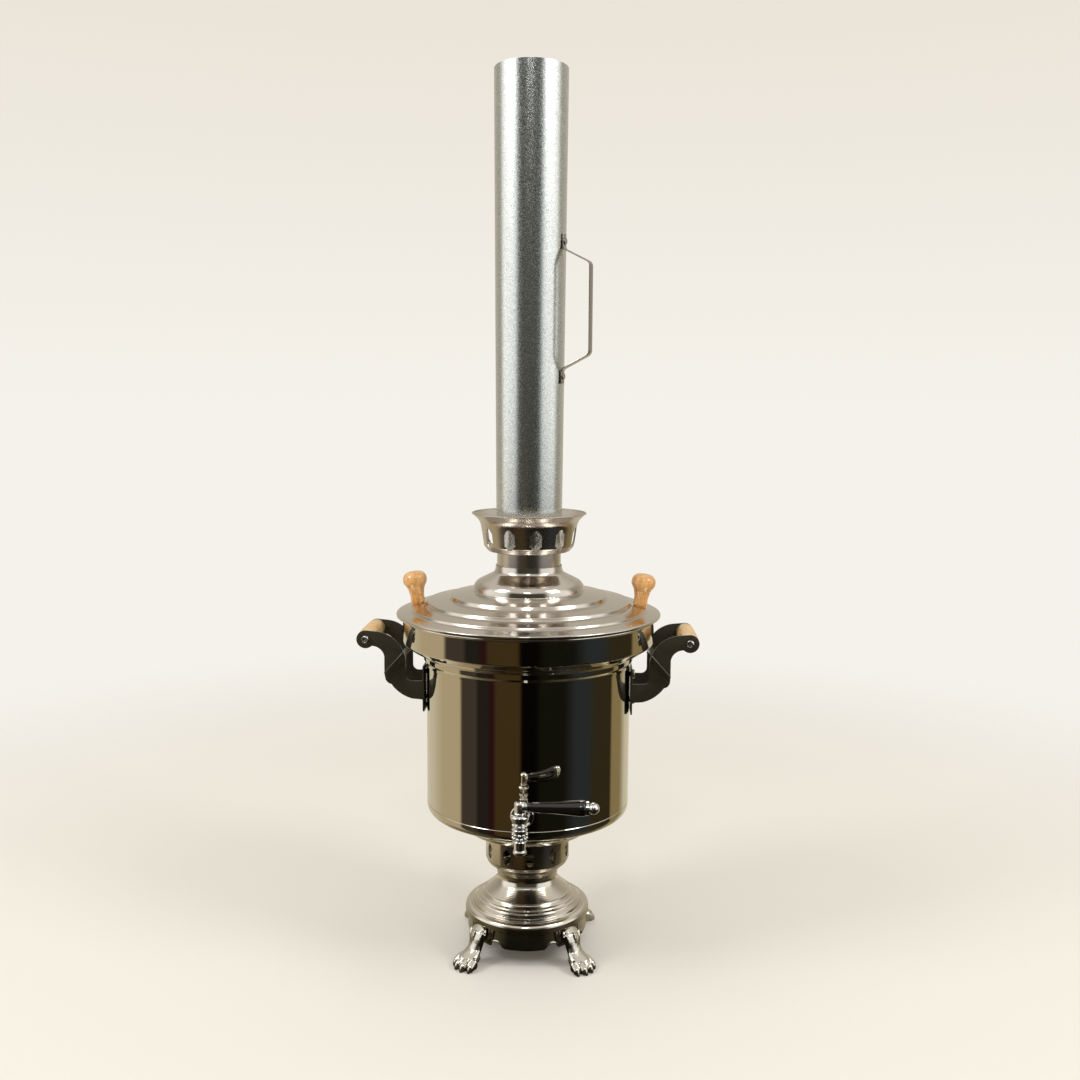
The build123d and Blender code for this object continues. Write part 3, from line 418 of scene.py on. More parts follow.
def ringedWood(pitch, reach):
    # the same birch with turned grooves, darkened in them with painted shade; pitch of the grooves
    # and how far from the middle they reach, in millimetres
    finish = lightWood("groovedBirchPaintedShade", "e0ab62", "f3d091")
    tree = finish.node_tree
    shader = tree.nodes["Principled BSDF"]
    plain = shader.inputs["Base Color"].links[0].from_socket
    place = addNode(tree, "ShaderNodeTexCoord").outputs["Object"]
    along = addNode(tree, "ShaderNodeSeparateXYZ", None, {"Vector": place}).outputs["Y"]
    # how far from the nearest groove, in pitches
    count = addNode(tree, "ShaderNodeMath", {
        "operation": "MULTIPLY_ADD", 1: 1 / (pitch * mm), 2: 0.5}, {0: along})
    part = addNode(tree, "ShaderNodeMath", {"operation": "FRACT"}, {0: count.outputs[0]})
    centred = addNode(tree, "ShaderNodeMath", {
        "operation": "SUBTRACT", 1: 0.5}, {0: part.outputs[0]})
    apart = addNode(tree, "ShaderNodeMath", {"operation": "ABSOLUTE"}, {0: centred.outputs[0]})
    # painted shade in the grooves: dark within 0.05 of a pitch, plain from 0.3
    grooveShade = addNode(tree, "ShaderNodeMapRange", {
        "From Min": 0.3, "From Max": 0.05, "interpolation_type": "SMOOTHSTEP"},
        {"Value": apart.outputs[0]})
    # only between the outermost grooves
    aside = addNode(tree, "ShaderNodeMath", {"operation": "ABSOLUTE"}, {0: along})
    inside = addNode(tree, "ShaderNodeMath", {
        "operation": "LESS_THAN", 1: reach * mm}, {0: aside.outputs[0]})
    share = addNode(tree, "ShaderNodeMath", {"operation": "MULTIPLY"}, {
        0: grooveShade.outputs[0], 1: inside.outputs[0]})
    # the painted shade: an orange brown mixed over the grain in the grooves
    paintedShade = addNode(tree, "ShaderNodeMix", {"data_type": "RGBA", 7: colour("b8651f")}, {
        0: share.outputs[0], 6: plain})
    tree.links.new(paintedShade.outputs[2], shader.inputs["Base Color"])
    return finish


def blackPlastic():
    # black phenolic moulding, polished: deep and glossy
    finish, tree, place = newFinish("blackPhenolic", {
        "Base Color": colour("080707"), "Roughness": 0.08, "IOR": 1.55, "Coat Weight": 0.5,
        "Coat Roughness": 0.05})
    haze = addNode(tree, "ShaderNodeTexNoise", {"Scale": 120.0, "Detail": 3.0}, {"Vector": place})
    showPattern(tree, haze.outputs["Fac"], roughness=(0.04, 0.11))
    return finish


def zincSheet():
    # hot-dip galvanised sheet: frosty crystals of about a millimetre, each with its own grey, gloss
    # and height, their edges frayed by up to 1.6 mm
    finish, tree, place = newFinish("hotDipGalvanised", {
        "Base Color": colour("c3c9c8"), "Metallic": 1.0, "Roughness": 0.34})
    wander = addNode(tree, "ShaderNodeTexNoise", {"Scale": 500.0, "Detail": 3.0}, {"Vector": place})
    shift = addNode(tree, "ShaderNodeVectorMath", {
        "operation": "MULTIPLY_ADD", 1: (1.6 * mm, 1.6 * mm, 1.6 * mm)},
        {0: wander.outputs["Color"], 2: place})
    crystals = addNode(tree, "ShaderNodeTexVoronoi", {"Scale": 1050.0, "Randomness": 1.0},
                       {"Vector": shift.outputs["Vector"]})
    each = addNode(tree, "ShaderNodeSeparateColor", None, {"Color": crystals.outputs["Color"]})
    showPattern(tree, each.outputs["Red"], tones=[(0.0, "c3c8c6"), (1.0, "e9ebe9")])
    showPattern(tree, each.outputs["Green"], roughness=(0.17, 0.3))
    showPattern(tree, each.outputs["Blue"], relief=(0.12, 0.2))
    return finish


def zincStrap():
    # flat strip galvanised as thin wire is: no crystals, only a soft grey satin with draw lines about
    # a millimetre wide and 17 mm long
    finish, tree, place = newFinish("galvanisedStrip", {
        "Base Color": colour("b4b0a8"), "Metallic": 1.0, "Roughness": 0.26})
    drawn = addNode(tree, "ShaderNodeMapping", {"Scale": (900.0, 900.0, 60.0)}, {"Vector": place})
    lines = addNode(tree, "ShaderNodeTexNoise", {"Scale": 1.0, "Detail": 3.0},
                    {"Vector": drawn.outputs["Vector"]})
    showPattern(tree, lines.outputs["Fac"], roughness=(0.18, 0.36), relief=(0.1, 0.1))
    return finish


def screwSteel():
    # zinc-plated steel fasteners, lightly handled: dull spots of about 3 mm
    finish, tree, place = newFinish("zincPlatedSteel", {
        "Base Color": colour("b9b8b4"), "Metallic": 1.0, "Roughness": 0.22})
    haze = addNode(tree, "ShaderNodeTexNoise", {"Scale": 300.0, "Detail": 3.0}, {"Vector": place})
    showPattern(tree, haze.outputs["Fac"], roughness=(0.16, 0.32))
    return finish


def sealRubber():
    # black food-grade rubber, moulded and matte, with a fine grit of about 1.4 mm
    finish, tree, place = newFinish("mouldedRubber", {
        "Base Color": colour("1b1b1b"), "Roughness": 0.7})
    grit = addNode(tree, "ShaderNodeTexNoise", {"Scale": 700.0, "Detail": 2.0}, {"Vector": place})
    showPattern(tree, grit.outputs["Fac"], relief=(0.2, 0.2))
    return finish


finishes = {
    "polished_steel": polishedSteel(),
    "spun_steel": spunSteel("spunStainless", "cbc4bb", 0.08, 0.16),
    "crown_steel": spunSteel("brushedSpunStainless", "c6bfb5", 0.17, 0.27),
    "bell_steel": spunSteel("finelySpunStainless", "d2cbbe", 0.09, 0.17),
    "fire_steel": heatTintedSteel(),
    "grate_iron": castIron(),
    "cast_silver": castAluminium(),
    "black_lacquer": blackLacquer(),
    "tap_chrome": tapChrome(),
    "light_wood": lightWood("lacqueredBirch", "cd8640", "f2be78"),
    "ringed_wood": ringedWood(pitch=4.4, reach=11.0),       # as turnedGrip has its grooves
    "black_plastic": blackPlastic(),
    "zinc_sheet": zincSheet(),
    "zinc_strap": zincStrap(),
    "screw_steel": screwSteel(),
    "seal_rubber": sealRubber(),
}
slotOf = {entry["node"]: entry["material_slot"] for entry in frame["record"]["subparts"]}
for name, obj in nodes.items():
    obj.data.materials.clear()
    obj.data.materials.append(finishes[slotOf[name]])
nodes["crown"].data.materials[0] = finishes["crown_steel"]
nodes["throat_ring"].data.materials[0] = finishes["bell_steel"]
print("finishes made")

# cast paw feet
paw = {
    "face": 60.4,       # face of the apron, where the foot lies, from the upright axis
    "leg": [            # (out from the face, height, half depth, half width)
        (1.6, 34.8, 3.0, 8.6),
        (4.0, 31.6, 5.0, 10.8),
        (5.4, 27.0, 5.6, 9.8),
        (6.8, 21.0, 5.8, 8.4),
        (9.2, 16.4, 6.2, 8.4),
        (12.6, 13.0, 7.0, 9.6),
        (16.2, 10.4, 7.4, 10.6),
        (18.0, 6.0, 8.6, 11.6),
        (18.2, 2.0, 9.0, 11.6),
    ],
    "legLump": 3.4,     # half height of a lump of the leg
    "toes": [(-10.6, 4.6), (-3.7, 0.6), (3.7, 0.6), (10.6, 4.6)],     # (aside, set back)
    "toeTip": 28.6,     # toe tips outside the face
    "toe": [            # (out from the tip, share of its aside, height, half axes)
        (-12.5, 0.66, 10.0, (3.4, 3.0, 2.8)),       # instep
        (-6.0, 0.94, 8.4, (3.4, 3.3, 3.4)),         # knuckle
        (-1.0, 1.0, 4.2, (3.2, 3.4, 4.2)),          # tip
    ],
    "claw": [           # the same, in front of the toe
        (0.8, 1.01, 3.4, (2.0, 2.3, 3.2)),
        (2.2, 1.03, 1.6, (1.2, 1.6, 2.0)),
    ],
    "lumps": {"toe": 6, "claw": 4},     # lumps from one station to the next
    "ribs": (-6.8, 0.0, 6.8),       # ribs of the leaf on the shin, aside
    "rib": [            # (out from the face, lean back per aside, share of its aside, height, half axes)
        (15.0, 0.0, 0.35, 14.6, (1.2, 1.0, 1.2)),
        (12.4, 0.35, 0.7, 19.0, (1.3, 1.1, 1.3)),
        (10.6, 0.35, 1.0, 24.5, (1.5, 1.3, 1.5)),
        (9.6, 0.35, 1.15, 29.5, (1.7, 1.5, 1.7)),
        (8.2, 0.35, 1.2, 33.0, (1.9, 1.8, 1.7)),    # the curl at the knee
    ],
    "voxel": 0.5,
    "smoothing": 8,
}
pawPlaces = {           # node: (name, turn round the upright axis)
    "foot_front_right": ("pawFoot.frontRight", -45),
    "foot_rear_right": ("pawFoot.rearRight", 45),
    "foot_rear_left": ("pawFoot.rearLeft", 135),
    "foot_front_left": ("pawFoot.frontLeft", 225),
}


def makePaw():
    face = paw["face"]
    lumps = addTrail([
        ((face + out, 0, height), (depth, width, paw["legLump"]))
        for out, height, depth, width in paw["leg"]])
    for aside, back in paw["toes"]:
        tip = face + paw["toeTip"] - back
        for trail in ("toe", "claw"):
            lumps += addTrail([
                ((tip + out, aside * share, height), size)
                for out, share, height, size in paw[trail]], paw["lumps"][trail])
    for aside in paw["ribs"]:
        lumps += addTrail([
            ((face + out - abs(aside) * lean, aside * share, height), size)
            for out, lean, share, height, size in paw["rib"]])
    casting = joinPieces("pawFoot", lumps)
    castSkin(casting, paw["voxel"], paw["smoothing"])
    sawLevel(casting, 0.0)
    return casting


def placePaws():
    model = makePaw()
    for node, (name, angle) in pawPlaces.items():
        foot = copyPiece(model, name)
        foot.rotation_euler = (0, 0, radians(angle))
        settle(foot)
        install(foot, "vessel", finishes["cast_silver"], "cast_silver", node)
    bpy.data.objects.remove(model)


placePaws()
print("paw feet made")

# spun bell of the base
spunBell = {
    "neck": (29.5, 71.4, 10.0),     # (radius, height, rounding)
    "slope": [                      # down the cone over its spun ridges, to the rim
        (41.86, 59.36, 0.6),
        (42.96, 59.26, 0.6),
        (43.14, 58.10, 0.6),
        (45.3, 56.0, 8.0),
        (46.30, 55.27, 0.6),
        (47.34, 55.24, 0.6),
        (47.76, 54.20, 0.6),
        (49.30, 53.07, 0.6),
        (50.40, 53.04, 0.6),
        (50.80, 51.98, 0.6),
        (54.2, 49.5, 0.5),
        (54.6, 47.0, 0.5),
        (55.8, 46.2, 0.5),
        (57.2, 46.9, 1.2),
        (62.5, 45.6, 4.4),
        (62.5, 38.0),
    ],
    "wall": 1.0,
}


def makeBell():
    outline = [(spunBell["neck"][0], bellTop), spunBell["neck"], *spunBell["slope"]]
    bell = spinOutline("spunBell", outline, steps=160, wall=spunBell["wall"])
    install(bell, "vessel", finishes["bell_steel"], "polished_steel", "base_bell")


makeBell()
print("bell made")

# cast apron
apronCasting = {
    "face": 60.3,
    "bead": 0.75,       # half thickness of the bead round the arches
    "beadBand": 1.7,    # the bead follows the sharp edges that lie this near the outside
    "beadTop": 35.5,    # and below this height
    "beadAngle": 40,
    "flutes": (-14.5, -10.5, 10.5, 14.5),     # flutes beside each leg, in degrees from its middle
    "flute": [          # (share of that angle, height, half width), from the bottom up
        (0.7, 21.5, 0.9),
        (0.9, 28.0, 1.5),
        (1.0, 35.6, 1.6),
    ],
    "sunk": 0.4,        # how far a flute's middle lies inside the face
    "stretch": 1.4,     # height of a flute's lump by its width
    "voxel": 0.7,
    "smoothing": 5,
}


def makeBead(apron):
    # a rod along the lower edges of the apron's outside
    radius = max(vertex.co.xy.length for vertex in apron.data.vertices)
    inner = radius - apronCasting["beadBand"] * mm
    top = apronCasting["beadTop"] * mm
    sharp = radians(apronCasting["beadAngle"])
    bpy.ops.object.mode_set(mode="EDIT")
    bpy.ops.mesh.select_mode(type="EDGE")
    bpy.ops.mesh.select_all(action="DESELECT")
    mesh = bmesh.from_edit_mesh(apron.data)
    for edge in mesh.edges:
        out = min(vertex.co.xy.length for vertex in edge.verts) > inner
        low = max(vertex.co.z for vertex in edge.verts) < top
        edge.select_set(out and low and edge.is_manifold and edge.calc_face_angle(0) > sharp)
    bmesh.update_edit_mesh(apron.data)
    bpy.ops.mesh.duplicate()
    bpy.ops.mesh.separate(type="SELECTED")
    bpy.ops.mesh.select_mode(type="VERT")
    bpy.ops.object.mode_set(mode="OBJECT")
    line = next(piece for piece in bpy.context.selected_objects if piece is not apron)
    activate(line)
    bpy.ops.object.convert(target="CURVE")
    bead = bpy.context.object
    bead.data.bevel_depth = apronCasting["bead"] * mm
    bead.data.bevel_resolution = 3
    bpy.ops.object.convert(target="MESH")
    return bpy.context.object


def makeApron():
    apron = copyNode("base_apron", "castApron")
    pieces = [apron, makeBead(apron)]
    reach = apronCasting["face"] - apronCasting["sunk"]
    for _, legAngle in pawPlaces.values():
        for aside in apronCasting["flutes"]:
            stations = []
            for share, height, swell in apronCasting["flute"]:
                turn = radians(legAngle + aside * share)
                size = (swell, swell, swell * apronCasting["stretch"])
                stations.append(((reach * cos(turn), reach * sin(turn), height), size))
            pieces += addTrail(stations)
    casting = joinPieces("castApron", pieces)
    castSkin(casting, apronCasting["voxel"], apronCasting["smoothing"])
    install(casting, "vessel", finishes["cast_silver"], "cast_silver", "base_apron")


makeApron()
print("apron made")

# studs of the tap
tapStuds = {
    "rows": [           # (above the shank axis, ring radius, stud radius, studs, turn)
        (5.2, 5.9, 1.35, 12, 0),
        (-2.6, 6.0, 1.6, 10, 18),
        (-6.2, 5.8, 1.6, 10, 0),
    ],
    "rings": [          # (above the shank axis, ring radius, half thickness)
        (8.6, 5.9, 0.7),
        (1.6, 6.3, 0.9),
        (-9.4, 5.7, 0.8),
    ],
    "inside": 0.6,      # the inner half is flatter, clear of the key in its bore
    "squat": 0.9,       # height by width
}


def makeStud(ring, radius, rise, angle):
    place = Vector((ring * cos(angle), tapAxisY + ring * sin(angle), tapHeight + rise))
    deselectAll()
    bpy.ops.mesh.primitive_ico_sphere_add(
        subdivisions=2, radius=radius * mm, location=place * mm, rotation=(0, 0, angle))
    stud = bpy.context.object
    bpy.ops.object.mode_set(mode="EDIT")
    pickVertices(stud, lambda co: co.x < -near["seam"] * mm)
    bpy.ops.transform.resize(
        value=(tapStuds["inside"], 1, 1), orient_type="LOCAL", center_override=place * mm)
    bpy.ops.object.mode_set(mode="OBJECT")
    stud.scale = (1, 1, tapStuds["squat"])
    return stud


def makeTapStuds():
    pieces = []
    for rise, ring, radius, count, turn in tapStuds["rows"]:
        for index in range(count):
            pieces.append(makeStud(ring, radius, rise, radians(turn + 360 * index / count)))
    for rise, ring, radius in tapStuds["rings"]:
        deselectAll()
        bpy.ops.mesh.primitive_torus_add(
            major_radius=ring * mm, minor_radius=radius * mm, major_segments=64, minor_segments=12,
            location=Vector((0, tapAxisY, tapHeight + rise)) * mm)
        pieces.append(bpy.context.object)
    studs = joinPieces("tapStuds", pieces)
    bpy.ops.object.shade_smooth()
    install(studs, "vessel", finishes["tap_chrome"], "tap_chrome")


makeTapStuds()
print("tap studs made")

# black hand grip of the tap, turned along the lever
leverGrip = {
    "outline": [        # (radius, out from the key's axis, rounding)
        (0.0, 6.5),
        (4.1, 6.5, 0.4),
        (4.3, 7.6, 0.3),
        (3.9, 8.6, 0.5),
        (4.5, 11.0, 2.0),
        (5.6, 34.0, 30.0),
        (7.1, 53.0, 3.0),
        (7.1, 57.0, 1.2),
        (6.0, 58.3, 0.5),
        (0.0, 58.3),
    ],
}


def makeLeverGrip():
    piece = spinOutline("leverGrip", leverGrip["outline"], steps=64)
    low, high = boxOf("tap_grip")
    piece.rotation_euler = (0, radians(90), 0)
    piece.location = Vector((0, tapAxisY, (low.z + high.z) / 2)) * mm
    settle(piece)
    install(piece, "tap_lever", finishes["black_plastic"], "black_plastic", "tap_grip")


makeLeverGrip()
print("lever grip made")

# turned wooden grips of the side handles
turnedGrip = {
    "grooves": 5,
    "groovePitch": 4.4,
    "grooveDepth": 1.3,
    "grooveHalf": 1.5,      # half width of a groove
    "grooveRound": 0.6,
    "lipRound": 0.5,
    "shoulder": 1.4,        # how much smaller the end faces are, in radius
    "shoulderRound": 0.4,
    "taper": 0.3,           # how much smaller the grip is near its ends, in radius
    "taperLength": 2.4,
    "taperRound": 3.0,
}


def makeGrips():
    grip = turnedGrip
    for side in ("right", "left"):
        node = "handle_grip_" + side
        low, high = boxOf(node)
        radius = (high.z - low.z) / 2
        half = (high.y - low.y) / 2
        endRadius, nearRadius = radius - grip["shoulder"], radius - grip["taper"]
        nearEnd = half - grip["taperLength"]
        outline = [
            (0, -half),
            (endRadius, -half, grip["shoulderRound"]),
            (nearRadius, -nearEnd, grip["taperRound"])]
        for index in range(grip["grooves"]):
            middle = (index - (grip["grooves"] - 1) / 2) * grip["groovePitch"]
            outline += [
                (radius, middle - grip["grooveHalf"], grip["lipRound"]),
                (radius - grip["grooveDepth"], middle, grip["grooveRound"]),
                (radius, middle + grip["grooveHalf"], grip["lipRound"])]
        outline += [
            (nearRadius, nearEnd, grip["taperRound"]),
            (endRadius, half, grip["shoulderRound"]),
            (0, half)]
        piece = spinOutline("turnedGrip." + side, outline, steps=72)
        piece.rotation_euler = (radians(90), 0, 0)
        piece.location = (low + high) / 2 * mm
        settle(piece)
        install(piece, "vessel", finishes["ringed_wood"], "light_wood", node)


makeGrips()
print("wooden grips made")

# turned knobs of the lid
lidKnob = {
    "outline": [        # (radius, above the lid, rounding): foot with its burnt line, neck, head
        (0.0, -1.5),
        (6.9, -1.5, 0.2),
        (6.9, 0.0, 0.1),
        (5.9, 0.3, 0.1),
        (5.9, 1.2, 0.1),
        (7.1, 1.6, 0.3),
        (6.7, 8.0, 10.0),
        (8.4, 16.0, 10.0),
        (12.1, 21.6, 5.5),
        (11.4, 28.6, 6.0),
        (6.8, 31.7, 5.0),
        (0.0, 32.3),
    ],
    "crest": (7.0, 32.0),       # (radius, height) of the point that comes highest when the knob leans
    "seat": 110.0,      # out from the upright axis
    "tilt": 8.0,
}


def makeKnobs():
    tilt = radians(lidKnob["tilt"])
    aside, height = lidKnob["crest"]
    for side, facing in (("right", 1), ("left", -1)):
        node = "lid_knob_" + side
        knob = spinOutline("turnedKnob." + side, lidKnob["outline"], steps=72)
        # the crest touches the top of the node's box
        foot = boxOf(node)[1].z - (height * cos(tilt) + aside * sin(tilt))
        knob.rotation_euler = (0, facing * tilt, 0)
        knob.location = Vector((facing * lidKnob["seat"], 0, foot)) * mm
        settle(knob)
        install(knob, "lid", finishes["light_wood"], "light_wood", node)


makeKnobs()
print("knobs made")

# socket screws in the ends of the grips
socketScrew = {
    "outline": [        # (radius, above the seat, rounding)
        (0.0, -8.0),
        (2.0, -8.0, 0.4),
        (2.0, 0.0, 0.1),
        (4.0, 0.0, 0.2),
        (3.9, 1.0, 1.2),
        (2.6, 2.1, 0.6),
        (2.5, 1.5, 0.1),
        (0.0, 1.5),
    ],
    "face": 1.5,        # height of the face with the socket
    "socket": 2.1,      # across the corners of the hexagon, half
    "socketDepth": 1.6,
    "cutter": 4.0,      # length of the tool that cuts it
    "head": 2.2,        # from the seat to the outside of the node's box
    "turn": 17,         # how the hexagons happen to stand, in degrees
    "shade": 30,
}


def makeSocketScrew():
    screw = spinOutline("socketScrew", socketScrew["outline"], steps=48)
    cutter = socketScrew["cutter"]
    middle = cutter / 2 + socketScrew["face"] - socketScrew["socketDepth"]
    deselectAll()
    bpy.ops.mesh.primitive_cylinder_add(
        vertices=6, radius=socketScrew["socket"] * mm, depth=cutter * mm, location=(0, 0, middle * mm))
    key = bpy.context.object
    settle(key)
    applyModifier(screw, "BOOLEAN", operation="DIFFERENCE", solver="EXACT", object=key)
    bpy.data.objects.remove(key)
    weldDoubles(screw)
    smoothShade(screw, socketScrew["shade"])
    return screw


def placeGripScrews():
    model = makeSocketScrew()
    low, high = boxOf("grip_screws")
    headRadius = (high.z - low.z) / 2
    screws = []
    for x in (low.x + headRadius, high.x - headRadius):
        for facing in (-1, 1):
            screw = copyPiece(model, "gripScrew")
            seat = facing * (high.y - socketScrew["head"])
            screw.rotation_euler = (radians(-90 * facing), 0, radians(socketScrew["turn"] * facing))
            screw.location = Vector((x, seat, (low.z + high.z) / 2)) * mm
            settle(screw)
            screws.append(screw)
    bpy.data.objects.remove(model)
    gripScrews = joinPieces("gripScrews", screws)
    install(gripScrews, "vessel", finishes["screw_steel"], "screw_steel", "grip_screws")


placeGripScrews()
print("grip screws made")

# pressed, forged and folded pieces: edges broken by deburring
brokenEdges = {         # node: (name, edge width, body, finish)
    "handle_bracket_right": ("pressedBracket.right", 0.35, "vessel", "black_lacquer"),
    "handle_bracket_left": ("pressedBracket.left", 0.35, "vessel", "black_lacquer"),
    "chimney_handle": ("foldedStrap", 0.3, "chimney", "zinc_strap"),
    "tap_key": ("forgedKey", 0.35, "tap_lever", "tap_chrome"),
    "tap_gland_nut": ("turnedNut", 0.3, "vessel", "tap_chrome"),
}
edgeAngles = {          # in degrees
    "flat": 0.5,        # facets that differ less become one face
    "sharp": 38,        # edges that turn more are broken
    "shade": 32,
}


def breakEdges():
    for node, (name, width, body, finish) in brokenEdges.items():
        piece = copyNode(node, name)
        editAll(piece)
        bpy.ops.mesh.dissolve_limited(angle_limit=radians(edgeAngles["flat"]))
        bpy.ops.object.mode_set(mode="OBJECT")
        applyModifier(piece, "BEVEL", width=width * mm, segments=2, limit_method="ANGLE",
                      angle_limit=radians(edgeAngles["sharp"]), harden_normals=False)
        weldDoubles(piece)
        smoothShade(piece, edgeAngles["shade"])
        install(piece, body, finishes[finish], slotOf[node], node)


breakEdges()
print("edges broken")

# rolled edges of the spun sheet
rolledEdges = [         # (name, body, finish, slot, outer radius, top, half thickness)
    ("crownRim", "crown", "crown_steel", "spun_steel", crownRadius, crownTop, 0.9),
    ("lidEdge", "lid", "spun_steel", "spun_steel", lidRadius, mouthHeight + 0.6, 1.0),
    ("mouthBead", "vessel", "polished_steel", "polished_steel",
     bandRadius + 1.6, mouthHeight - 1.8, 2.4),
]
pressedFlat = {         # the sheet's end is pressed flat under the roll, by shares of its thickness
    "below": 0.4,
    "by": 0.2,
}


def makeRolledEdges():
    for name, body, finish, slot, outer, top, half in rolledEdges:
        deselectAll()
        bpy.ops.mesh.primitive_torus_add(
            major_radius=(outer - half) * mm, minor_radius=half * mm, major_segments=160,
            minor_segments=16, location=Vector((0, 0, top - half)) * mm)
        roll = bpy.context.object
        rename(roll, name)
        bpy.ops.object.mode_set(mode="EDIT")
        pickVertices(roll, lambda co: co.z < -pressedFlat["below"] * half * mm)
        bpy.ops.transform.translate(value=(0, 0, pressedFlat["by"] * half * mm))
        bpy.ops.object.mode_set(mode="OBJECT")
        settle(roll)
        bpy.ops.object.shade_smooth()
        install(roll, body, finishes[finish], slot)


makeRolledEdges()
print("rolled edges made")

# pressed creases of the bracket arms
armCreases = {
    "lines": [          # (out, aside, height) to (out, aside, height), along both folds of an arm
        ((139.0, 31.3, 287.4), (120.5, 31.3, 308.0)),
        ((138.5, 25.1, 278.9), (119.4, 25.1, 300.1)),
    ],
    "half": 0.95,       # half thickness
    "ends": 0.3,        # rounding of the ends
    "sharp": 40,        # edges that turn more degrees are rounded
}


def makeCreases():
    for side, facing in (("right", 1), ("left", -1)):
        rods = []
        for start, end in armCreases["lines"]:
            for arm in (1, -1):
                turned = Vector((facing, arm, 1))
                low, high = Vector(start) * turned, Vector(end) * turned
                deselectAll()
                bpy.ops.mesh.primitive_cylinder_add(
                    vertices=20, radius=armCreases["half"] * mm, depth=(high - low).length * mm,
                    location=(low + high) / 2 * mm,
                    rotation=(high - low).to_track_quat("Z", "Y").to_euler())
                rods.append(bpy.context.object)
        creases = joinPieces("armCreases." + side, rods)
        applyModifier(creases, "BEVEL", width=armCreases["ends"] * mm, segments=3,
                      limit_method="ANGLE", angle_limit=radians(armCreases["sharp"]))
        smoothShade(creases, armCreases["sharp"])
        install(creases, "vessel", finishes["black_lacquer"], "black_lacquer")


makeCreases()
print("creases made")

# studio: floor, world, lamps and camera, in metres
studio = {
    "floor": "f4f0e8",
    "floorReach": 2.4,
    "floorFades": (0.5, 1.5),       # from and to this distance the floor goes over into the wall
    "tableFades": (0.16, 0.34),     # the same in the metal
    "wall": "f5f2eb",               # level with the eye
    "wallTop": "e4dccd",            # where the look rises by half
    "fill": 0.74,                   # light on what isn't metal
    "fillTone": "f2eee6",
    "ceiling": "e8e3db",
    "ceilingFrom": (0.35, 0.7),     # rises of the look at which the walls go over into the ceiling
    "wallFrom": (-0.16, -0.05),     # and the things in the room into the walls behind them
    "windowGlow": 1.5,
}

# what stands round the samovar in the metal: (from, to, colour), in shares of a full turn
roomThings = [
    (0.00, 0.01, "080604"),         # dark doorway straight in front
    (0.02, 0.09, "483820"),         # oak cupboard
    (0.10, 0.11, "301818"),         # edge of a red curtain
    (0.12, 0.15, "282420"),         # shade beside it
    (0.16, 0.21, "484038"),         # grey curtain
    (0.22, 0.30, "c8b898"),         # sunlit wall on the left
    (0.36, 0.60, "d8d0b8"),         # pale backdrop
    (0.64, 0.69, "988860"),         # wall on the right
    (0.70, 0.77, "383020"),         # brown wardrobe
    (0.80, 0.84, "303438"),         # blue-grey door
    (0.88, 0.95, "181810"),         # dark corner beside the doorway
    (0.97, 1.00, "080604"),
]
tableThings = [
    (0.00, 0.07, "181810"),         # table top in front, dark
    (0.16, 0.22, "686048"),
    (0.30, 0.70, "b8b098"),         # towards the backdrop, pale
    (0.78, 0.84, "585040"),
    (0.93, 1.00, "181810"),
]
wallThings = [
    (0.00, 0.11, "484840"),         # wall in front, in shade
    (0.43, 0.57, "c8c0b0"),         # wall behind, lit
    (0.89, 1.00, "484840"),
]
windows = [
    (0.00, 0.10, "000000"),
    (0.13, 0.26, "ffffff"),         # left window
    (0.30, 0.70, "000000"),
    (0.74, 0.87, "ffffff"),         # right window
    (0.90, 1.00, "000000"),
]


def turnShare(tree, heading):
    # share of a full turn: 0.5 behind the samovar, 0 and 1 in front of it
    parts = addNode(tree, "ShaderNodeSeparateXYZ", None, {"Vector": heading})
    around = addNode(tree, "ShaderNodeMath", {"operation": "ARCTAN2"}, {
        0: parts.outputs["X"], 1: parts.outputs["Y"]})
    turn = addNode(tree, "ShaderNodeMath", {"operation": "DIVIDE", 1: pi}, {
        0: around.outputs["Value"]})
    return addNode(tree, "ShaderNodeMapRange", {"From Min": -1.0, "From Max": 1.0},
                   {"Value": turn.outputs["Value"]}).outputs["Result"]


def standAround(tree, share, things):
    # each thing holds its colour over its range of the turn and blends into the next
    stops = [(edge, text) for start, end, text in things for edge in (start, end)]
    return addNode(tree, "ShaderNodeValToRGB", {"stops": stops}, {"Fac": share}).outputs["Color"]


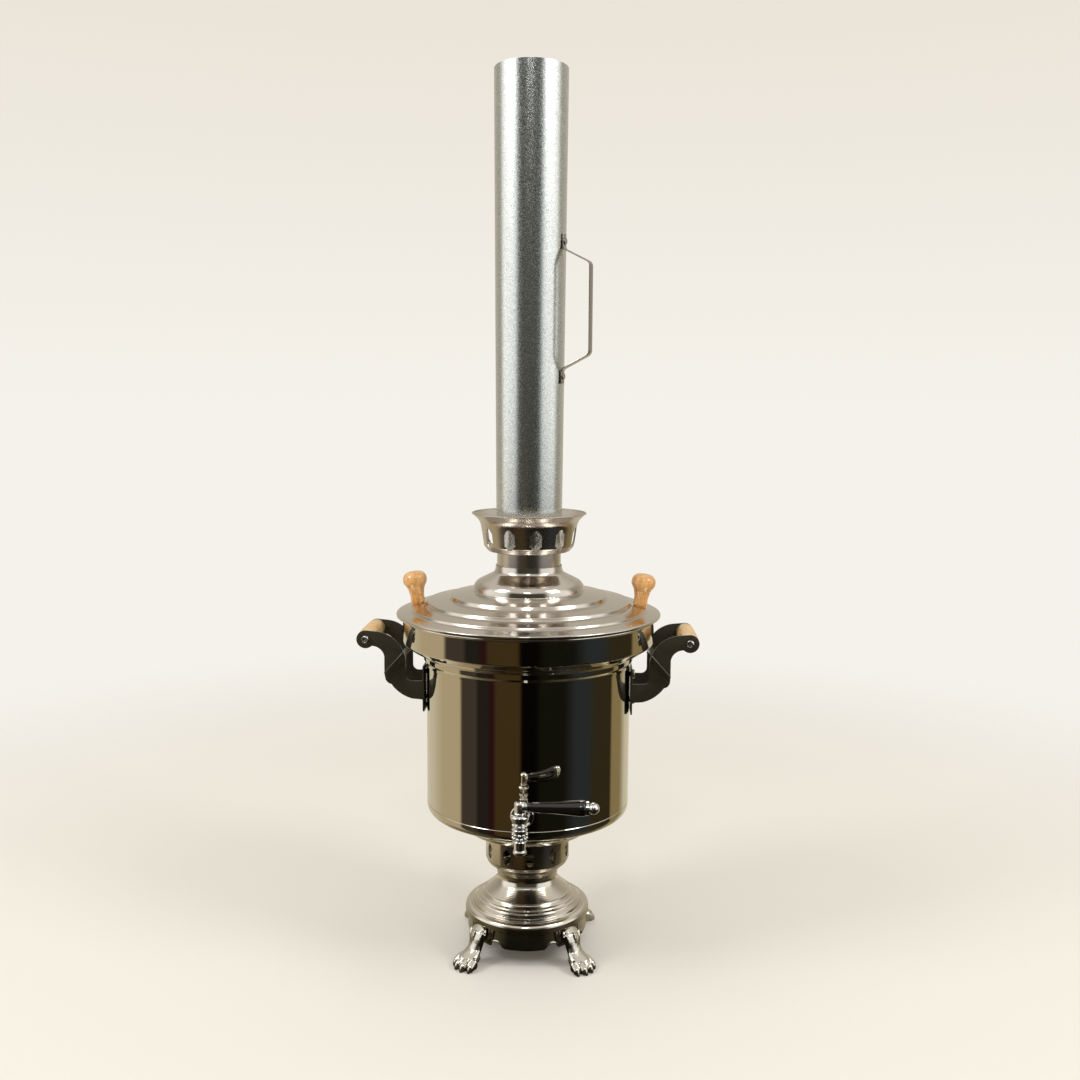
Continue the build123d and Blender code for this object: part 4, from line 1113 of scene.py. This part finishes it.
def makeFloor():
    deselectAll()
    bpy.ops.mesh.primitive_circle_add(vertices=96, radius=studio["floorReach"], fill_type="NGON")
    floor = bpy.context.object
    floor.name = "studioFloor"
    finish = bpy.data.materials.new("matteFloorPaint")
    finish.use_nodes = True
    tree = finish.node_tree
    tree.nodes.clear()
    out = addNode(tree, "ShaderNodeOutputMaterial")
    path = addNode(tree, "ShaderNodeLightPath")
    place = addNode(tree, "ShaderNodeTexCoord").outputs["Object"]
    # in the metal the samovar stands on a table top, dark in front and pale behind
    table = standAround(tree, turnShare(tree, place), tableThings)
    tone = addNode(tree, "ShaderNodeMix", {"data_type": "RGBA", 6: colour(studio["floor"])}, {
        0: path.outputs["Is Glossy Ray"], 7: table})
    paint = addNode(tree, "ShaderNodeBsdfDiffuse", None, {"Color": tone.outputs[2]})
    clear = addNode(tree, "ShaderNodeBsdfTransparent")
    reach = addNode(tree, "ShaderNodeVectorMath", {"operation": "LENGTH"}, {
        0: place}).outputs["Value"]
    start, end = studio["floorFades"]
    floorFade = addNode(tree, "ShaderNodeMapRange", {
        "From Min": start, "From Max": end, "interpolation_type": "SMOOTHSTEP"}, {"Value": reach})
    start, end = studio["tableFades"]
    tableFade = addNode(tree, "ShaderNodeMapRange", {
        "From Min": start, "From Max": end, "interpolation_type": "SMOOTHSTEP"}, {"Value": reach})
    fade = addNode(tree, "ShaderNodeMix", {"data_type": "FLOAT"}, {
        0: path.outputs["Is Glossy Ray"], 2: floorFade.outputs["Result"],
        3: tableFade.outputs["Result"]})
    mix = addNode(tree, "ShaderNodeMixShader", None, {
        0: fade.outputs[0], 1: paint.outputs["BSDF"], 2: clear.outputs["BSDF"]})
    tree.links.new(mix.outputs["Shader"], out.inputs["Surface"])
    floor.data.materials.append(finish)


def mirroredRoom(tree, heading, rise):
    # below eye level the furnished room, above it tall windows on both sides, then the ceiling
    share = turnShare(tree, heading)
    things = standAround(tree, share, roomThings)
    walls = standAround(tree, share, wallThings)
    glass = standAround(tree, share, windows)
    lit = addNode(tree, "ShaderNodeMix", {
        "data_type": "RGBA", "blend_type": "ADD", 0: studio["windowGlow"]}, {6: walls, 7: glass})
    start, end = studio["wallFrom"]
    aboveEye = addNode(tree, "ShaderNodeMapRange", {
        "From Min": start, "From Max": end, "interpolation_type": "SMOOTHSTEP"}, {"Value": rise})
    room = addNode(tree, "ShaderNodeMix", {"data_type": "RGBA"}, {
        0: aboveEye.outputs["Result"], 6: things, 7: lit.outputs[2]})
    start, end = studio["ceilingFrom"]
    high = addNode(tree, "ShaderNodeMapRange", {
        "From Min": start, "From Max": end, "interpolation_type": "SMOOTHSTEP"}, {"Value": rise})
    return addNode(tree, "ShaderNodeMix", {"data_type": "RGBA", 7: colour(studio["ceiling"])}, {
        0: high.outputs["Result"], 6: room.outputs[2]}).outputs[2]


def makeWorld():
    world = bpy.data.worlds.new("studioRoom")
    bpy.context.scene.world = world
    world.use_nodes = True
    tree = world.node_tree
    tree.nodes.clear()
    out = addNode(tree, "ShaderNodeOutputWorld")
    heading = addNode(tree, "ShaderNodeTexCoord").outputs["Generated"]
    rise = addNode(tree, "ShaderNodeSeparateXYZ", None, {"Vector": heading}).outputs["Z"]
    # to the eye: a plain cream wall, a little darker towards the top
    wall = addNode(tree, "ShaderNodeValToRGB", {
        "stops": [(0.0, studio["wall"]), (0.5, studio["wallTop"])]}, {"Fac": rise})
    seen = addNode(tree, "ShaderNodeBackground", {"Strength": 1.0}, {"Color": wall.outputs["Color"]})
    mirrored = addNode(tree, "ShaderNodeBackground", {"Strength": 1.0}, {
        "Color": mirroredRoom(tree, heading, rise)})
    spread = addNode(tree, "ShaderNodeBackground", {
        "Color": colour(studio["fillTone"]), "Strength": studio["fill"]})
    path = addNode(tree, "ShaderNodeLightPath")
    glossy = addNode(tree, "ShaderNodeMixShader", None, {
        0: path.outputs["Is Glossy Ray"], 1: spread.outputs["Background"],
        2: mirrored.outputs["Background"]})
    final = addNode(tree, "ShaderNodeMixShader", None, {
        0: path.outputs["Is Camera Ray"], 1: glossy.outputs["Shader"],
        2: seen.outputs["Background"]})
    tree.links.new(final.outputs["Shader"], out.inputs["Surface"])


softboxes = {           # name: (place, aim, size, power)
    "leftSoftbox": ((-1.55, -0.75, 1.75), (0, 0, 0.35), (0.7, 0.9), 14),
    "rightSoftbox": ((1.55, -0.75, 1.75), (0, 0, 0.35), (0.7, 0.9), 14),
    "frontSoftbox": ((0.0, -1.9, 1.9), (0, 0, 0.3), (0.3, 0.3), 5),
}


def makeLamps():
    for name, (place, aim, size, power) in softboxes.items():
        deselectAll()
        bpy.ops.object.light_add(type="AREA", location=place)
        lamp = bpy.context.object
        lamp.name = name
        lamp.data.shape = "RECTANGLE"
        lamp.data.size, lamp.data.size_y = size
        lamp.data.energy = power
        lamp.rotation_euler = (Vector(aim) - Vector(place)).to_track_quat("-Z", "Y").to_euler()


eye = {
    "distance": 1.081,
    "height": 0.542,
    "azimuth": 2.2,     # round the samovar, in degrees
    "offset": 0.0108,   # aside
    "pitch": 6.64,      # downwards, in degrees
    "lean": 0.375,      # round the line of sight, in degrees
    "lens": 36.8,
    "sensor": 36.0,
}


def makeCamera():
    turn = radians(eye["azimuth"])
    back = Vector((sin(turn), -cos(turn), 0))
    aside = Vector((cos(turn), sin(turn), 0))
    deselectAll()
    place = back * eye["distance"] + aside * eye["offset"] + Vector((0, 0, eye["height"]))
    bpy.ops.object.camera_add(location=place)
    camera = bpy.context.object
    camera.name = "mainCamera"
    camera.data.lens = eye["lens"]
    camera.data.sensor_width = eye["sensor"]
    aim = Matrix.Rotation(turn, 4, "Z") @ Matrix.Rotation(radians(90 - eye["pitch"]), 4, "X")
    lean = Matrix.Rotation(radians(eye["lean"]), 4, "Z")
    camera.matrix_world = Matrix.Translation(place) @ aim @ lean
    bpy.context.scene.camera = camera


makeFloor()
makeWorld()
makeLamps()
makeCamera()
bpy.context.scene.view_settings.view_transform = "Standard"
print("studio made")
